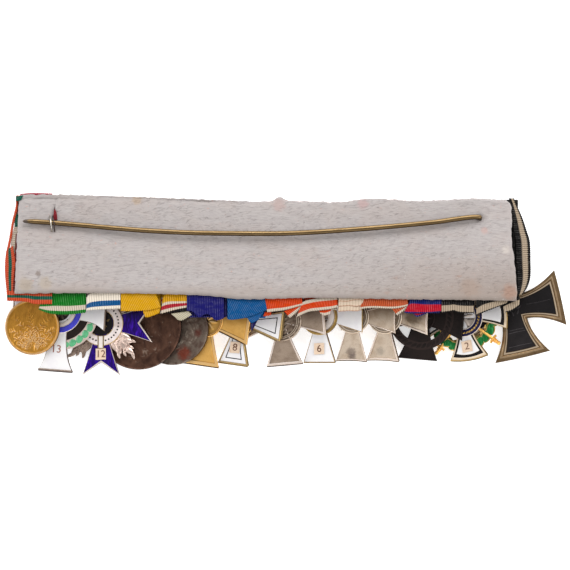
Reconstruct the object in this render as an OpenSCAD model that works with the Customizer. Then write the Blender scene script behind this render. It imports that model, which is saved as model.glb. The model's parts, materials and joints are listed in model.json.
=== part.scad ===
// A bar of fourteen mounted decorations, lying face down with its felt back up.
// Millimetres. X runs along the bar, Y up its height, Z away from the surface that it lies on.

/* [Bar] */
// Length of the felt back
felt_len = 216; // [205:1:240]
// Height of the felt back
felt_h = 43; // [40:0.5:50]
// Thickness of the felt layer that shows
felt_t = 1.8; // [1.2:0.1:3]
// How far the first ribbon bulges past the left end
left_bulge = 4.2; // [2:0.1:6]
// How far the last ribbon bulges past the right end
right_bulge = 4.7; // [2:0.1:6]
// How far up, as the bar lies, the two end bulges stand
bulge_rise = 3.4; // [2:0.1:4]

/* [Ribbons] */
// Thickness of the ribbon cloth
ribbon_t = 1; // [0.8:0.1:1.2]
// Space inside a fold of ribbon
fold_gap = 0.45; // [0.3:0.05:0.8]
// How far the ribbons hang below the felt
ribbon_drop = 7; // [5:0.5:10]
// How far a ribbon is tucked under the edge of the felt
ribbon_tuck = 3.4; // [2.6:0.1:5]
// Thickness of the V folds on the front
flap_t = 0.9; // [0.6:0.1:1.2]
// Gap between two ribbons side by side
side_gap = 0.3; // [0.2:0.05:0.6]
// Gap between soft pieces and what they lie on
soft_gap = 0.3; // [0.2:0.05:0.4]

/* [Pin] */
// Diameter of the pin wire
pin_d = 2.2; // [1.8:0.1:2.6]
// Clear height of the pin wire over the felt at its middle
pin_stand = 1.7; // [1:0.1:3]
// Length of the pin's tapered point
point_len = 5; // [3:0.5:9]
// Diameter of the catch wire
catch_d = 0.6; // [0.4:0.05:0.8]
// Distance between the two wires of the catch
catch_pitch = 1.5; // [1.2:0.1:2.2]
// Length of the slit for the catch
slit_len = 5.5; // [4:0.5:8]
// Width of the scrap of cloth beside the catch
patch_w = 1.9; // [1.2:0.1:2.6]
// Height of the scrap of cloth beside the catch
patch_h = 3.7; // [2.5:0.1:4.5]

/* [Medals] */
// Reach of an ordinary cross from its centre to the end of an arm
cross_reach = 18.7; // [17:0.1:20]
// Thickness of a cross arm
arm_t = 1.4; // [1.2:0.1:1.8]
// Thickness of a centre disk, a wreath or a round medal
disk_t = 2; // [1.8:0.1:2.4]
// Width of the raised rim of an arm
rim_w = 0.7; // [0.5:0.05:1]
// Depth of the enamel field inside the rim
field_depth = 0.25; // [0.15:0.05:0.4]
// Thickness of the wreaths between the arms
leaf_t = 0.8; // [0.6:0.05:0.85]
// Height of raised leaves and other relief over a field
relief_h = 0.22; // [0.1:0.02:0.3]
// Radius of the small gold-coloured medal
gold_r = 11.9; // [11:0.1:13]
// Radius of the large dark medal
dark_r = 18.7; // [17:0.1:20]
// Radius of the patinated medal
patina_r = 15.7; // [14:0.1:17]
// Reach of the black iron cross
iron_reach = 21.4; // [20:0.1:23]
// Width of the iron cross's silver frame
frame_w = 3.2; // [2.5:0.1:4]
// How much the iron cross leans, in degrees
iron_lean = 4; // [3:0.5:5]
// How far an ordinary medal's centre hangs below the felt
medal_drop = 10; // [9:0.5:12]
// Gap between the medals where they overlap
stack_gap = 0.2; // [0.15:0.05:0.4]

/* [Suspension] */
// Radius of the soldered eye, to the middle of its wire
eye_r = 1.15; // [1.1:0.05:1.4]
// Diameter of the eye's wire
eye_d = 0.8; // [0.6:0.05:0.9]
// Radius of the suspension ring, to the middle of its wire
ring_r = 2.6; // [2.5:0.1:3]
// Diameter of the ring's wire
ring_d = 0.8; // [0.6:0.05:0.9]
// Width of the cloth loop that holds a ring
loop_w = 2; // [1.4:0.1:2.4]
// Wall of the cloth loop
loop_t = 0.8; // [0.6:0.1:1]
// Gap between the ring's wire and the cloth loop
loop_gap = 0.3; // [0.25:0.05:0.4]

/* [Labels] */
// Width of a paper label
label_w = 4.4; // [3:0.1:4.8]
// Height of a paper label
label_h = 4.8; // [3:0.1:6]
// Thickness of a paper label
label_t = 0.25; // [0.15:0.05:0.3]
// Gap between a label and the enamel that it is stuck on
glue_gap = 0.05; // [0.03:0.01:0.1]

/* [Hidden] */
$fn = 48;
SIDE_STEPS = 8;
COUNT = 14;
// How far joined shapes run into each other, and how far a cut runs past the face that it opens
OVERLAP = 0.1;
CUT = 1;

// Each medal: place along the bar as a share of felt_len, drop as a share of medal_drop, turn clockwise in
// degrees, then reach, half width of an arm's end, half width of its neck and disk radius as shares of
// cross_reach, and the disk's rim as a share of rim_w. Round medals and the iron cross have named sizes of
// their own.
ALONG = 0;
DROP = 1;
TURN = 2;
REACH = 3;
END = 4;
NECK = 5;
DISK = 6;
DISK_RIM = 7;
IRON_END = 0.575;
IRON_NECK = 0.28;
MEDALS = [
    [-0.466, 1.29, 0, gold_r / cross_reach, 0, 0, 0, 1.2],
    [-0.412, 0.56, 4.2, 1.037, 0.406, 0.246, 0.535, 1.7],
    [-0.3295, 1.12, 0, 1.144, 0.428, 0.139, 0.524, 0.84],
    [-0.255, 1.25, 0, dark_r / cross_reach, 0, 0, 0, 1.87],
    [-0.188, 1.35, 0, patina_r / cross_reach, 0, 0, 0, 1.57],
    [-0.1195, 1.08, 8, 1, 0.4385, 0.18, 0.374, 1.29],
    [-0.0567, 1.12, 9, 1.01, 0.38, 0.17, 0.374, 1.29],
    [0.0328, 1.01, -5, 1.02, 0.428, 0.2, 0.48, 1.14],
    [0.1055, 0.95, 2, 1, 0.37, 0.16, 0.43, 1.57],
    [0.169, 0.86, 2.5, 1.01, 0.364, 0.176, 0.39, 1],
    [0.234, 0.86, 3.5, 1.01, 0.364, 0.176, 0.4, 1.29],
    [0.3066, 0.86, 5, 0.99, 0.46, 0.2, 0.33, 1],
    [0.389, 0.84, -9, 0.98, 0.4385, 0.166, 0.47, 0.86],
    [0.487, 0.49, -12.7, iron_reach / cross_reach, IRON_END * iron_reach / cross_reach,
        IRON_NECK * iron_reach / cross_reach, 0, 0]
];
// How far the end of an arm bows out past its reach, as a share of the reach, for each medal
BOW = [0, 0, 0, 0, 0, 0, 0, 0, 0, -0.02, -0.02, 0, 0.055, 0.012];
// How much longer the lower arm of the second cross is
LONG_ARM = 1.35;
// Depth of the notch in an arm of the third cross as a share of its reach, and the stem that bridges it
NOTCH = 0.257;
STEM_LEN = 2.4;
STEM_W = 1.2;
// How fast an arm widens from its neck to its end: 1 is straight
FLARE = 1.35;
// How much an arm's outline narrows at its end and its neck for each step inwards
END_STEP = 1.3;
NECK_STEP = 0.75;

// Each ribbon: its left edge along the bar as a share of felt_len, its drop as a share of ribbon_drop and
// its top as a share of felt_h
RIBBONS = [
    [-0.5, 0.44, 1.035],
    [-0.426, 1.07, 1.03],
    [-0.358, 0.89, 0.97],
    [-0.29, 0.89, 0.97],
    [-0.21, 0.71, 0.965],
    [-0.157, 1.4, 0.96],
    [-0.0806, 1.44, 0.955],
    [-0.002, 0.94, 0.945],
    [0.0717, 0.94, 0.945],
    [0.1404, 0.89, 0.945],
    [0.186, 0.76, 0.96],
    [0.2807, 1.13, 0.97],
    [0.3434, 1, 1.015],
    [0.4101, 0.71, 1.015],
    [0.5, 0, 0]
];
LEFT = 0;
HANG = 1;
TOP = 2;

// Ends of ribbon that hang below the folds: ribbon, from and to as shares of its width, depth as a share
// of ribbon_drop
TONGUES = [
    [3, 0.56, 0.96, 1.26],
    [4, 0.5, 0.95, 1.37],
    [6, 0.56, 0.86, 2.07],
    [7, 0.49, 0.97, 1.31],
    [10, 0.67, 0.96, 1.04],
    [11, 0.12, 0.42, 1.25],
    [13, 0.04, 0.16, 1.1]
];

// A band of the V fold as shares of the ribbon's width: its inner top corner and its two lower corners,
// which lie this share of felt_h up
FOLD_TOP = 0.4;
FOLD_INNER = 0.74;
FOLD_OUTER = 0.3;
FOLD_LOW = 0.06;

// The bulges past the two ends: height as a share of felt_h, reach as a share of the bulge
LEFT_CURVE = [[-0.03, 0.71], [0.06, 0.84], [0.15, 0.92], [0.27, 1], [0.36, 0.98], [0.5, 0.74], [0.635, 0.45],
    [0.75, 0.22], [0.85, 0.12], [1, 0.1]];
RIGHT_CURVE = [[0.05, 0.4], [0.1, 0.66], [0.17, 0.95], [0.28, 1.02], [0.38, 1], [0.52, 0.98], [0.63, 0.92],
    [0.75, 0.49], [0.87, 0.09], [1, -0.3]];

// The felt's uneven outline: along as a share of felt_len, up as a share of felt_h
FELT_EDGE = [
    [-0.5, 0.041], [-0.366, 0.048], [-0.235, 0.041], [-0.121, 0.02], [-0.052, -0.016], [0.026, -0.01],
    [0.07, -0.003], [0.137, -0.003], [0.265, -0.016], [0.39, -0.022], [0.5, -0.033],
    [0.495, 0.133], [0.491, 0.378], [0.486, 0.593], [0.486, 0.92],
    [0.476, 0.985], [0.412, 1.007], [0.305, 0.974], [0.207, 0.994], [0.149, 0.955], [0.088, 0.961],
    [0.04, 0.98], [0.024, 1.022], [0.01, 0.98], [-0.018, 0.968], [-0.127, 0.988], [-0.235, 1.002],
    [-0.404, 1.033], [-0.486, 1.028], [-0.493, 0.971]
];

// The pin's middle line from its point: along as a share of felt_len, up as a share of felt_h, and its clear
// height over the felt as a share of pin_stand
PIN = [
    [-0.485, 0.777, 0.45], [-0.455, 0.772, 0.42], [-0.422, 0.765, 0.4], [-0.36, 0.741, 0.55],
    [-0.3, 0.714, 0.75], [-0.233, 0.686, 0.9], [-0.145, 0.66, 1], [-0.044, 0.651, 1], [0.026, 0.651, 1],
    [0.0875, 0.667, 1], [0.163, 0.695, 1], [0.241, 0.728, 0.95], [0.329, 0.772, 0.8], [0.375, 0.802, 0.7],
    [0.4, 0.817, 0.62], [0.413, 0.819, 0.42], [0.421, 0.815, 0]
];
PIN_SIDES = 12;
// Radius of the pin's tip as a share of its diameter
PIN_TIP = 0.16;
// The catch: along as a share of felt_len, up as a share of felt_h, the pin's clear height there as a share
// of pin_stand
CATCH_AT = -0.4265;
CATCH_UP = 0.768;
CATCH_STAND = 0.4;
// The scrap of cloth beside the catch, as shares of patch_w and patch_h
PATCH = [[0, 0], [0.84, 0.08], [1, 0.54], [0.58, 1], [0.21, 0.86]];

// Derived sizes of the bar's layers, as heights over the ribbons' front face
fold_h = 2 * ribbon_t + fold_gap;
fold_r = fold_h / 2;
plate_z = ribbon_t + soft_gap;
felt_z = fold_h + soft_gap;
back_z = felt_z + felt_t;
hole_floor = plate_z + soft_gap;
plate_low = ribbon_tuck + soft_gap;
lowest_top = min([for (i = [0:COUNT - 1]) RIBBONS[i][TOP]]) * felt_h;
plate_high = lowest_top - fold_r - ribbon_tuck - soft_gap;
bar_top = max([for (i = [0:COUNT - 1]) RIBBONS[i][TOP]]) * felt_h;

// Places of the medals
function medal_x(i) = MEDALS[i][ALONG] * felt_len;
function medal_y(i) = -MEDALS[i][DROP] * medal_drop;
function reach(i) = MEDALS[i][REACH] * cross_reach;
function end_w(i) = MEDALS[i][END] * cross_reach;
function neck_w(i) = MEDALS[i][NECK] * cross_reach;
function disk_r(i) = MEDALS[i][DISK] * cross_reach;
function disk_rim(i) = MEDALS[i][DISK_RIM] * rim_w;
function turn(i) = MEDALS[i][TURN];
function half_t(i) = (MEDALS[i][END] == 0 ? disk_t : arm_t) / 2;
function turned(p, a) = [p[0] * cos(a) + p[1] * sin(a), p[1] * cos(a) - p[0] * sin(a)];

// The medals lie in parallel slanted planes, each one's right side over the next one's left side
tightest = min([for (i = [1:COUNT - 3]) medal_x(i + 1) - medal_x(i)]);
medal_lean = asin((disk_t + stack_gap) / tightest);
function lean(i) = i == COUNT - 1 ? iron_lean : medal_lean;
function half_span(i) = MEDALS[i][END] == 0 ? reach(i) :
    reach(i) * cos(turn(i)) + end_w(i) * abs(sin(turn(i)));
function rest_z(i) = half_span(i) * sin(lean(i)) + half_t(i) * cos(lean(i));
function stack_t(i) = i > 0 ? disk_t :
    max(disk_t, eye_r + (eye_d + arm_t) / 2, (ring_d + disk_t) / 2 + loop_gap + loop_t);
function pushed_z(i) = medal_z(i + 1) + (stack_t(i) + stack_gap) / cos(medal_lean)
    - (medal_x(i + 1) - medal_x(i)) * tan(medal_lean);
function medal_z(i) = i >= COUNT - 2 ? rest_z(i) : max(rest_z(i), pushed_z(i));
function on_medal(i, p, h) = let (q = turned(p, turn(i)))
    [medal_x(i) + q[0] * cos(lean(i)) - h * sin(lean(i)), medal_y(i) + q[1],
        medal_z(i) + q[0] * sin(lean(i)) + h * cos(lean(i))];

// The suspension eye and ring of each medal
function top_edge(i) = i == 2 ? reach(i) * (1 - NOTCH) + STEM_LEN : reach(i) * (1 + BOW[i]);
function eye_y(i) = top_edge(i) + eye_r + eye_d / 8;
function eye_at(i) = on_medal(i, [0, eye_y(i)], 0);
function ring_at(i) = eye_at(i) + ring_r * [sin(turn(i)), cos(turn(i)), 0];
function ring_top(i) = eye_at(i) + 2 * ring_r * [sin(turn(i)), cos(turn(i)), 0];

// The bar leans until its front clears every medal and ring under it. SLOPE is how much longer the leaning
// bar is than its plan, at most.
SLOPE = 1.03;
function needed(p) = (p[2] + soft_gap) / (bar_top - SLOPE * p[1]);
bar_lean = asin(max([for (i = [0:COUNT - 1]) max(
    needed(on_medal(i, [end_w(i), reach(i)], arm_t / 2)),
    needed(on_medal(i, [-end_w(i), reach(i)], arm_t / 2)),
    needed(on_medal(i, [reach(i), end_w(i)], arm_t / 2)),
    needed(eye_at(i) + [0, eye_r, eye_r + eye_d / 2]),
    needed(ring_top(i) + [0, ring_d / 2, ring_d / 2]))]));
bar_z = bar_top * sin(bar_lean) + flap_t * cos(bar_lean);
function under_z(y) = (bar_top - (y + flap_t * sin(bar_lean)) / cos(bar_lean)) * sin(bar_lean);

// The origin is under the middle of the whole outline
x_low = min(medal_x(0) - gold_r * cos(medal_lean) - disk_t / 2 * sin(medal_lean),
    -felt_len / 2 - left_bulge);
iron_corners = [for (side = [-1, 1]) turned(iron_reach * [1, side * IRON_END], turn(COUNT - 1))];
x_high = medal_x(COUNT - 1) + max(iron_corners[0][0], iron_corners[1][0]) * cos(iron_lean);
felt_top = max([for (p = FELT_EDGE) p[1]]) * felt_h;
y_high = max(bar_top * cos(bar_lean) + fold_h * sin(bar_lean),
    felt_top * cos(bar_lean) + back_z * sin(bar_lean));
y_low = min(medal_y(1) - reach(1) * LONG_ARM * cos(turn(1)) - end_w(1) * sin(turn(1)),
    medal_y(2) - reach(2));
middle = [(x_low + x_high) / 2, (y_low + y_high) / 2, 0];

// Frames that the pieces are made in
module in_bar() {
    translate([0, 0, bar_z] - middle) rotate([-bar_lean, 0, 0]) children();
}

module in_medal(i) {
    translate([medal_x(i), medal_y(i), medal_z(i)] - middle)
        rotate([0, -lean(i), 0])
            rotate([0, 0, -turn(i)])
                children();
}

// Felt back
module felt_back() {
    slit_u = CATCH_AT * felt_len;
    hole_u = PIN[len(PIN) - 1][0] * felt_len;
    hole_v = PIN[len(PIN) - 1][1] * felt_h;
    color("#b8b0ae")
    in_bar()
    difference() {
        union() {
            translate([0, 0, felt_z])
                linear_extrude(felt_t)
                    polygon([for (p = FELT_EDGE) [p[0] * felt_len, p[1] * felt_h]]);
            translate([-felt_len / 2 + plate_low, plate_low, plate_z])
                cube([felt_len - 2 * plate_low, plate_high - plate_low, felt_z - plate_z + OVERLAP]);
        }
        translate([slit_u - slit_w() / 2, slit_v() - slit_len / 2, felt_z])
            cube([slit_w(), slit_len, felt_t + CUT]);
        translate([hole_u, hole_v, hole_floor])
            cylinder(d = pin_d + 2 * soft_gap, h = back_z);
        for (side = [-1, 1])
            translate([slit_u + side * catch_pitch / 2, catch_v() - catch_r(), felt_z])
                cylinder(d = catch_d + 2 * soft_gap, h = felt_t + CUT);
    }
}

// Pin: a bent wire with a tapered point, swept along its middle line
function pin_line() = [for (p = PIN) [p[0] * felt_len, p[1] * felt_h,
    back_z + p[2] * pin_stand + pin_d / 2]];

module pin_needle() {
    line = pin_line();
    hole = line[len(line) - 1];
    dive = hole[0] + 0.11 * pin_d;
    path = concat(line, [[dive, hole[1], back_z - 0.1 * pin_d], [dive, hole[1], hole_floor + soft_gap]]);
    last = len(path) - 1;
    tip = path[0];
    radii = [for (k = [0:last]) k == 0 ? pin_d * PIN_TIP : pin_d / 2];
    shaft_start = [tip[0] + point_len, path[1][1], path[1][2]];
    points_in = concat([tip, shaft_start], [for (k = [2:last]) path[k]]);
    color("#8c7a4e") in_bar() sweep(points_in, radii, PIN_SIDES);
}

// One tube round a line of points, with its own radius at each point
module sweep(line, radii, sides) {
    last = len(line) - 1;
    rings = [for (k = [0:last])
        let (a = line[max(k - 1, 0)], b = line[min(k + 1, last)], d = (b - a) / norm(b - a),
            flat = cross([0, 1, 0], d), e1 = flat / norm(flat), e2 = cross(d, e1))
        for (s = [0:sides - 1])
            line[k] + radii[k] * (cos(360 * s / sides) * e1 + sin(360 * s / sides) * e2)];
    sides_of = [for (k = [0:last - 1]) for (s = [0:sides - 1])
        let (t = (s + 1) % sides)
            [k * sides + s, (k + 1) * sides + s, (k + 1) * sides + t, k * sides + t]];
    polyhedron(rings, concat([[for (s = [0:sides - 1]) s]],
        sides_of, [[for (s = [sides - 1:-1:0]) last * sides + s]]));
}

// Catch: two thin wires that arch over the pin
function catch_v() = CATCH_UP * felt_h;
function catch_z() = back_z + CATCH_STAND * pin_stand + pin_d / 2;
function catch_r() = pin_d / 2 + soft_gap + catch_d / 2;
function slit_v() = catch_v() + catch_r() + slit_len / 2 - catch_d;
function slit_w() = catch_pitch + catch_d + 2 * soft_gap;

module pin_catch() {
    leg = catch_z() - felt_z - soft_gap;
    color("#9a948c")
    in_bar()
    translate([CATCH_AT * felt_len, catch_v(), catch_z()]) {
        for (side = [-1, 1])
            translate([side * catch_pitch / 2, 0, 0]) {
                rotate([90, 0, 90]) rotate_extrude(angle = 180)
                    translate([catch_r(), 0]) circle(d = catch_d, $fn = 20);
                for (foot = [-1, 1])
                    translate([0, foot * catch_r(), -leg]) cylinder(d = catch_d, h = leg, $fn = 20);
            }
        translate([-catch_pitch / 2, catch_r(), 0])
            rotate([0, 90, 0]) cylinder(d = catch_d, h = catch_pitch, $fn = 20);
    }
}

module catch_patch() {
    color("#a8262c")
    in_bar()
    translate([CATCH_AT * felt_len + slit_w() / 2 + soft_gap, catch_v() + catch_r() + catch_d,
        back_z + glue_gap])
        linear_extrude(ribbon_t)
            polygon([for (p = PATCH) [p[0] * patch_w, p[1] * patch_h]]);
}

// Ribbons
function ribbon_left(i) = RIBBONS[i][LEFT] * felt_len + side_gap / 2;
function ribbon_right(i) = RIBBONS[i + 1][LEFT] * felt_len - side_gap / 2;
function fold_v(i) = -RIBBONS[i][HANG] * ribbon_drop;
function top_v(i) = RIBBONS[i][TOP] * felt_h;

// The section of a ribbon seen from its end: front, lower fold, turned-up band, top fold and lip
module ribbon_section(i) {
    low = fold_v(i) + fold_r;
    high = top_v(i) - fold_r;
    translate([low, 0]) square([high - low, ribbon_t]);
    translate([low, fold_h - ribbon_t]) square([ribbon_tuck - low, ribbon_t]);
    translate([high - ribbon_tuck, fold_h - ribbon_t]) square([ribbon_tuck, ribbon_t]);
    for (end = [low, high])
        translate([end, fold_r]) intersection() {
            difference() {
                circle(r = fold_r);
                circle(r = fold_gap / 2, $fn = 20);
            }
            translate([end == low ? -2 * fold_r : 0, -fold_r]) square([2 * fold_r, 2 * fold_r]);
        }
}

// The two bands of the V fold on the front
module v_fold(i) {
    x0 = ribbon_left(i);
    w = ribbon_right(i) - x0;
    low = FOLD_LOW * felt_h;
    for (side = [0, 1])
        translate([x0 + side * w, 0, -flap_t])
            mirror([side, 0, 0])
                linear_extrude(flap_t + OVERLAP)
                    polygon([[0, top_v(i)], [FOLD_TOP * w, top_v(i)], [FOLD_INNER * w, low],
                        [FOLD_OUTER * w, low]]);
}

// The cloth loop round the top of the suspension ring
module ring_loop(i) {
    inner = ring_d / 2 + loop_gap;
    outer = inner + loop_t;
    stand = under_z(ring_top(i)[1]) - ring_top(i)[2] + flap_t;
    translate(ring_top(i) - middle)
        rotate([0, 0, -turn(i)])
            difference() {
                translate([-loop_w / 2, -outer - loop_gap, -outer])
                    cube([loop_w, 2 * outer + loop_gap, outer + stand]);
                translate([-loop_w, -inner - loop_gap, -inner])
                    cube([2 * loop_w, 2 * inner + loop_gap, 2 * inner]);
            }
}

// The strip of ribbon that stands out past an end of the felt, and the flat strip that carries it
module end_bulge(curve, bulge, side) {
    outer = [for (p = curve) [side * (felt_len / 2 + p[1] * bulge), p[0] * felt_h]];
    inner = [for (k = [len(curve) - 1:-1:0]) outer[k] - [side * ribbon_t, 0]];
    ledge = [for (k = [len(curve) - 1, 0]) [side * (felt_len / 2 - ribbon_tuck), curve[k][0] * felt_h]];
    linear_extrude(bulge_rise) polygon(concat(outer, inner));
    linear_extrude(ribbon_t) polygon(concat(outer, ledge));
}

module ribbon(i, tone) {
    x0 = ribbon_left(i);
    w = ribbon_right(i) - x0;
    color(tone)
    union() {
        in_bar() {
            translate([x0, 0, 0]) rotate([90, 0, 90]) linear_extrude(w) ribbon_section(i);
            v_fold(i);
            for (t = TONGUES)
                if (t[0] == i)
                    linear_extrude(ribbon_t)
                        polygon([[x0 + t[1] * w, fold_v(i) + fold_r + OVERLAP],
                            [x0 + t[2] * w, fold_v(i) + fold_r + OVERLAP],
                            [x0 + (0.1 * t[1] + 0.9 * t[2]) * w, -t[3] * ribbon_drop],
                            [x0 + (0.5 * t[1] + 0.5 * t[2]) * w, -t[3] * ribbon_drop]]);
            if (i == 0)
                end_bulge(LEFT_CURVE, left_bulge, -1);
            if (i == COUNT - 1)
                end_bulge(RIGHT_CURVE, right_bulge, 1);
        }
        ring_loop(i);
    }
}

// Shapes that the medals share. Hoops under wreaths, stalks of sprigs and walls of small rings are this wide.
HOOP_W = 1.2;
STALK_W = 0.5;
WALL_W = 0.4;

function arm_points(reach, end, neck, bow, notch) = concat(
    [[neck, 0]],
    [for (k = [0:SIDE_STEPS]) let (t = k / SIDE_STEPS)
        [neck + (end - neck) * pow(t, FLARE), neck + (reach - neck) * t]],
    [for (k = [1:SIDE_STEPS - 1]) let (t = 1 - 2 * k / SIDE_STEPS)
        [end * t, reach + bow * (1 - t * t) - notch * (1 - abs(t))]],
    [for (k = [SIDE_STEPS:-1:0]) let (t = k / SIDE_STEPS)
        [-neck - (end - neck) * pow(t, FLARE), neck + (reach - neck) * t]],
    [[-neck, 0]]);

module arms(reach, end, neck, bow = 0, notch = 0, down = 1) {
    for (k = [0:3])
        rotate([0, 0, 90 * k])
            polygon(arm_points(reach * (k == 2 ? down : 1), end, neck, bow, notch));
}

// A flat cross with a raised rim on both faces
module rimmed_cross(i, rim = rim_w, notch = 0, down = 1) {
    bow = BOW[i] * reach(i);
    difference() {
        translate([0, 0, -arm_t / 2])
            linear_extrude(arm_t) arms(reach(i), end_w(i), neck_w(i), bow, notch, down);
        for (face = [0, 1])
            mirror([0, 0, face])
                translate([0, 0, arm_t / 2 - field_depth])
                    linear_extrude(CUT)
                        arms(reach(i) - rim, end_w(i) - END_STEP * rim, neck_w(i) - NECK_STEP * rim, bow,
                            notch, (reach(i) * down - rim) / (reach(i) - rim));
    }
}

module rimmed_disk(r, rim) {
    difference() {
        translate([0, 0, -disk_t / 2]) cylinder(r = r, h = disk_t);
        for (face = [0, 1])
            mirror([0, 0, face])
                translate([0, 0, disk_t / 2 - field_depth]) cylinder(r = r - rim, h = CUT);
    }
}

// The outline of a pointed leaf with its root at the origin
module leaf_plan(l, w) {
    r = (l * l + w * w) / (4 * w);
    translate([0, l / 2])
        intersection() {
            translate([r - w / 2, 0]) circle(r = r, $fn = 96);
            translate([w / 2 - r, 0]) circle(r = r, $fn = 96);
        }
}

// A ring of leaves over a thin hoop
module leaf_ring(r, half_w, count) {
    translate([0, 0, -leaf_t / 2])
        linear_extrude(leaf_t) {
            difference() {
                circle(r = r + HOOP_W / 2);
                circle(r = r - HOOP_W / 2);
            }
            for (k = [0:count - 1])
                rotate(360 * k / count)
                    translate([-half_w, r - half_w * 0.7])
                        rotate(-52) leaf_plan(2.3 * half_w, 1.25 * half_w);
        }
}

// A sprig of leaves on one field
module sprig(l, pairs, z) {
    translate([0, 0, z - OVERLAP])
        linear_extrude(relief_h + OVERLAP) {
            translate([-STALK_W / 2, -l / 2]) square([STALK_W, l]);
            for (k = [0:pairs - 1])
                for (side = [-1, 1])
                    translate([0, l * (k / pairs - 0.45)])
                        rotate(side * 42) leaf_plan(l * 0.32, l * 0.11);
        }
}

// Petals round the middle of a disk
module rosette(r, petals, z) {
    translate([0, 0, z - OVERLAP])
        linear_extrude(relief_h + OVERLAP) {
            circle(r = r * 0.24);
            for (k = [0:petals - 1])
                rotate(360 * k / petals) leaf_plan(r * 0.9, r * 0.42);
        }
}

module both_faces() {
    children();
    mirror([0, 0, 1]) children();
}

module eye(i) {
    translate([0, eye_y(i), 0])
        rotate([0, 90, 0]) rotate_extrude() translate([eye_r, 0]) circle(d = eye_d, $fn = 20);
}

module round_medal(i) {
    r = reach(i);
    field = disk_t / 2 - field_depth;
    rimmed_disk(r, disk_rim(i));
    both_faces() sprig(1.5 * r, 6, field);
    both_faces() translate([0, 0, field - OVERLAP])
        linear_extrude(relief_h + OVERLAP)
            for (k = [0:19])
                rotate(18 * k) translate([-0.08 * r, 0.84 * r]) rotate(-70) leaf_plan(0.17 * r, 0.06 * r);
    eye(i);
}

module plain_cross(i) {
    rimmed_cross(i);
    rimmed_disk(disk_r(i), disk_rim(i));
    both_faces() rosette(disk_r(i) - disk_rim(i), 8, disk_t / 2 - field_depth);
    eye(i);
}

// The fourteen medals
module medal_01() { color("#be8c3c") in_medal(0) round_medal(0); }

module medal_02() {
    i = 1;
    ring_in = 0.66 * disk_r(i);
    color("#e8e6e4")
    in_medal(i) {
        rimmed_cross(i, down = LONG_ARM);
        difference() {
            rimmed_disk(disk_r(i), disk_rim(i));
            both_faces() translate([0, 0, arm_t / 2 - OVERLAP]) cylinder(r = ring_in, h = CUT);
        }
        both_faces() rosette(ring_in, 10, arm_t / 2 - OVERLAP);
        leaf_ring(0.79 * cross_reach, 0.1 * cross_reach, 28);
        eye(i);
    }
}

module medal_03() {
    i = 2;
    fan_r = 0.68 * cross_reach;
    core_r = 0.57 * disk_r(i);
    strap_w = 0.24 * disk_r(i);
    color("#2d057a")
    in_medal(i) {
        rimmed_cross(i, notch = NOTCH * reach(i));
        rimmed_disk(disk_r(i), disk_rim(i));
        difference() {
            translate([0, 0, -disk_t / 2]) cylinder(r = core_r + WALL_W, h = disk_t);
            both_faces() translate([0, 0, disk_t / 2 - field_depth]) cylinder(r = core_r, h = CUT);
        }
        both_faces() rosette(core_r, 6, disk_t / 2 - field_depth);
        translate([-strap_w / 2, -disk_r(i) - WALL_W, -disk_t / 2]) cube([strap_w, 2 * strap_w, disk_t]);
        for (q = [45:90:315])
            rotate([0, 0, q])
                translate([0, fan_r - 0.2 * cross_reach, -arm_t / 2])
                    linear_extrude(arm_t)
                        for (a = [-48:24:48])
                            rotate(a) leaf_plan((0.5 - abs(a) * 0.0028) * cross_reach, 0.12 * cross_reach);
        translate([-STEM_W / 2, reach(i) * (1 - NOTCH) - STEM_W / 2, -arm_t / 2])
            cube([STEM_W, STEM_LEN + STEM_W / 2 + 2 * OVERLAP, arm_t]);
        eye(i);
    }
}

module medal_04() { color("#4b3430") in_medal(3) round_medal(3); }

module medal_05() { color("#6a5a54") in_medal(4) round_medal(4); }

module medal_06() { color("#e1af5f") in_medal(5) plain_cross(5); }

module medal_07() { color("#ece9e4") in_medal(6) plain_cross(6); }

module medal_08() { color("#a59486") in_medal(7) plain_cross(7); }

module medal_09() { color("#efedea") in_medal(8) plain_cross(8); }

module medal_10() { color("#c8b9a5") in_medal(9) plain_cross(9); }

module medal_11() { color("#c3b4a0") in_medal(10) plain_cross(10); }

module medal_12() {
    i = 11;
    color("#2d2323")
    in_medal(i) {
        plain_cross(i);
        leaf_ring(0.71 * cross_reach, 0.06 * cross_reach, 40);
    }
}

// A sword with its hilt below and its blade through the centre
module sword() {
    guard = 0.86 * cross_reach;
    blade_w = 0.07 * cross_reach;
    guard_w = 0.225 * cross_reach;
    guard_h = 0.05 * cross_reach;
    grip_len = 0.12 * cross_reach;
    blade_t = leaf_t + OVERLAP;
    guard_t = blade_t + OVERLAP;
    translate([-blade_w / 2, -guard, -blade_t / 2]) cube([blade_w, 1.85 * guard, blade_t]);
    translate([-guard_w / 2, -guard, -guard_t / 2]) cube([guard_w, guard_h, guard_t]);
    translate([0, -guard - grip_len, 0])
        rotate([-90, 0, 0]) cylinder(d = 0.85 * blade_w, h = grip_len + guard_h / 2, $fn = 20);
    translate([0, -guard - grip_len, 0]) sphere(d = 1.15 * blade_w, $fn = 20);
}

module medal_13() {
    i = 12;
    color("#f2f0ec")
    in_medal(i) {
        plain_cross(i);
        leaf_ring(0.71 * cross_reach, 0.118 * cross_reach, 24);
        for (side = [-1, 1])
            rotate([0, 0, side * 45]) sword();
    }
}

module medal_14() {
    i = 13;
    e = end_w(i);
    n = neck_w(i);
    bow = BOW[i] * reach(i);
    color("#3a3634")
    in_medal(i) {
        difference() {
            translate([0, 0, -arm_t / 2]) linear_extrude(arm_t) arms(iron_reach, e, n, bow);
            for (cut = [[1, field_depth], [0.28, field_depth / 3]]) {
                step = cut[0] * frame_w;
                both_faces() translate([0, 0, arm_t / 2 - cut[1]]) linear_extrude(CUT)
                    arms(iron_reach - step, e - END_STEP * step, n - NECK_STEP * step, bow);
            }
        }
        both_faces() sprig(0.8 * iron_reach, 4, arm_t / 2 - field_depth);
        eye(i);
    }
}

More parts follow.
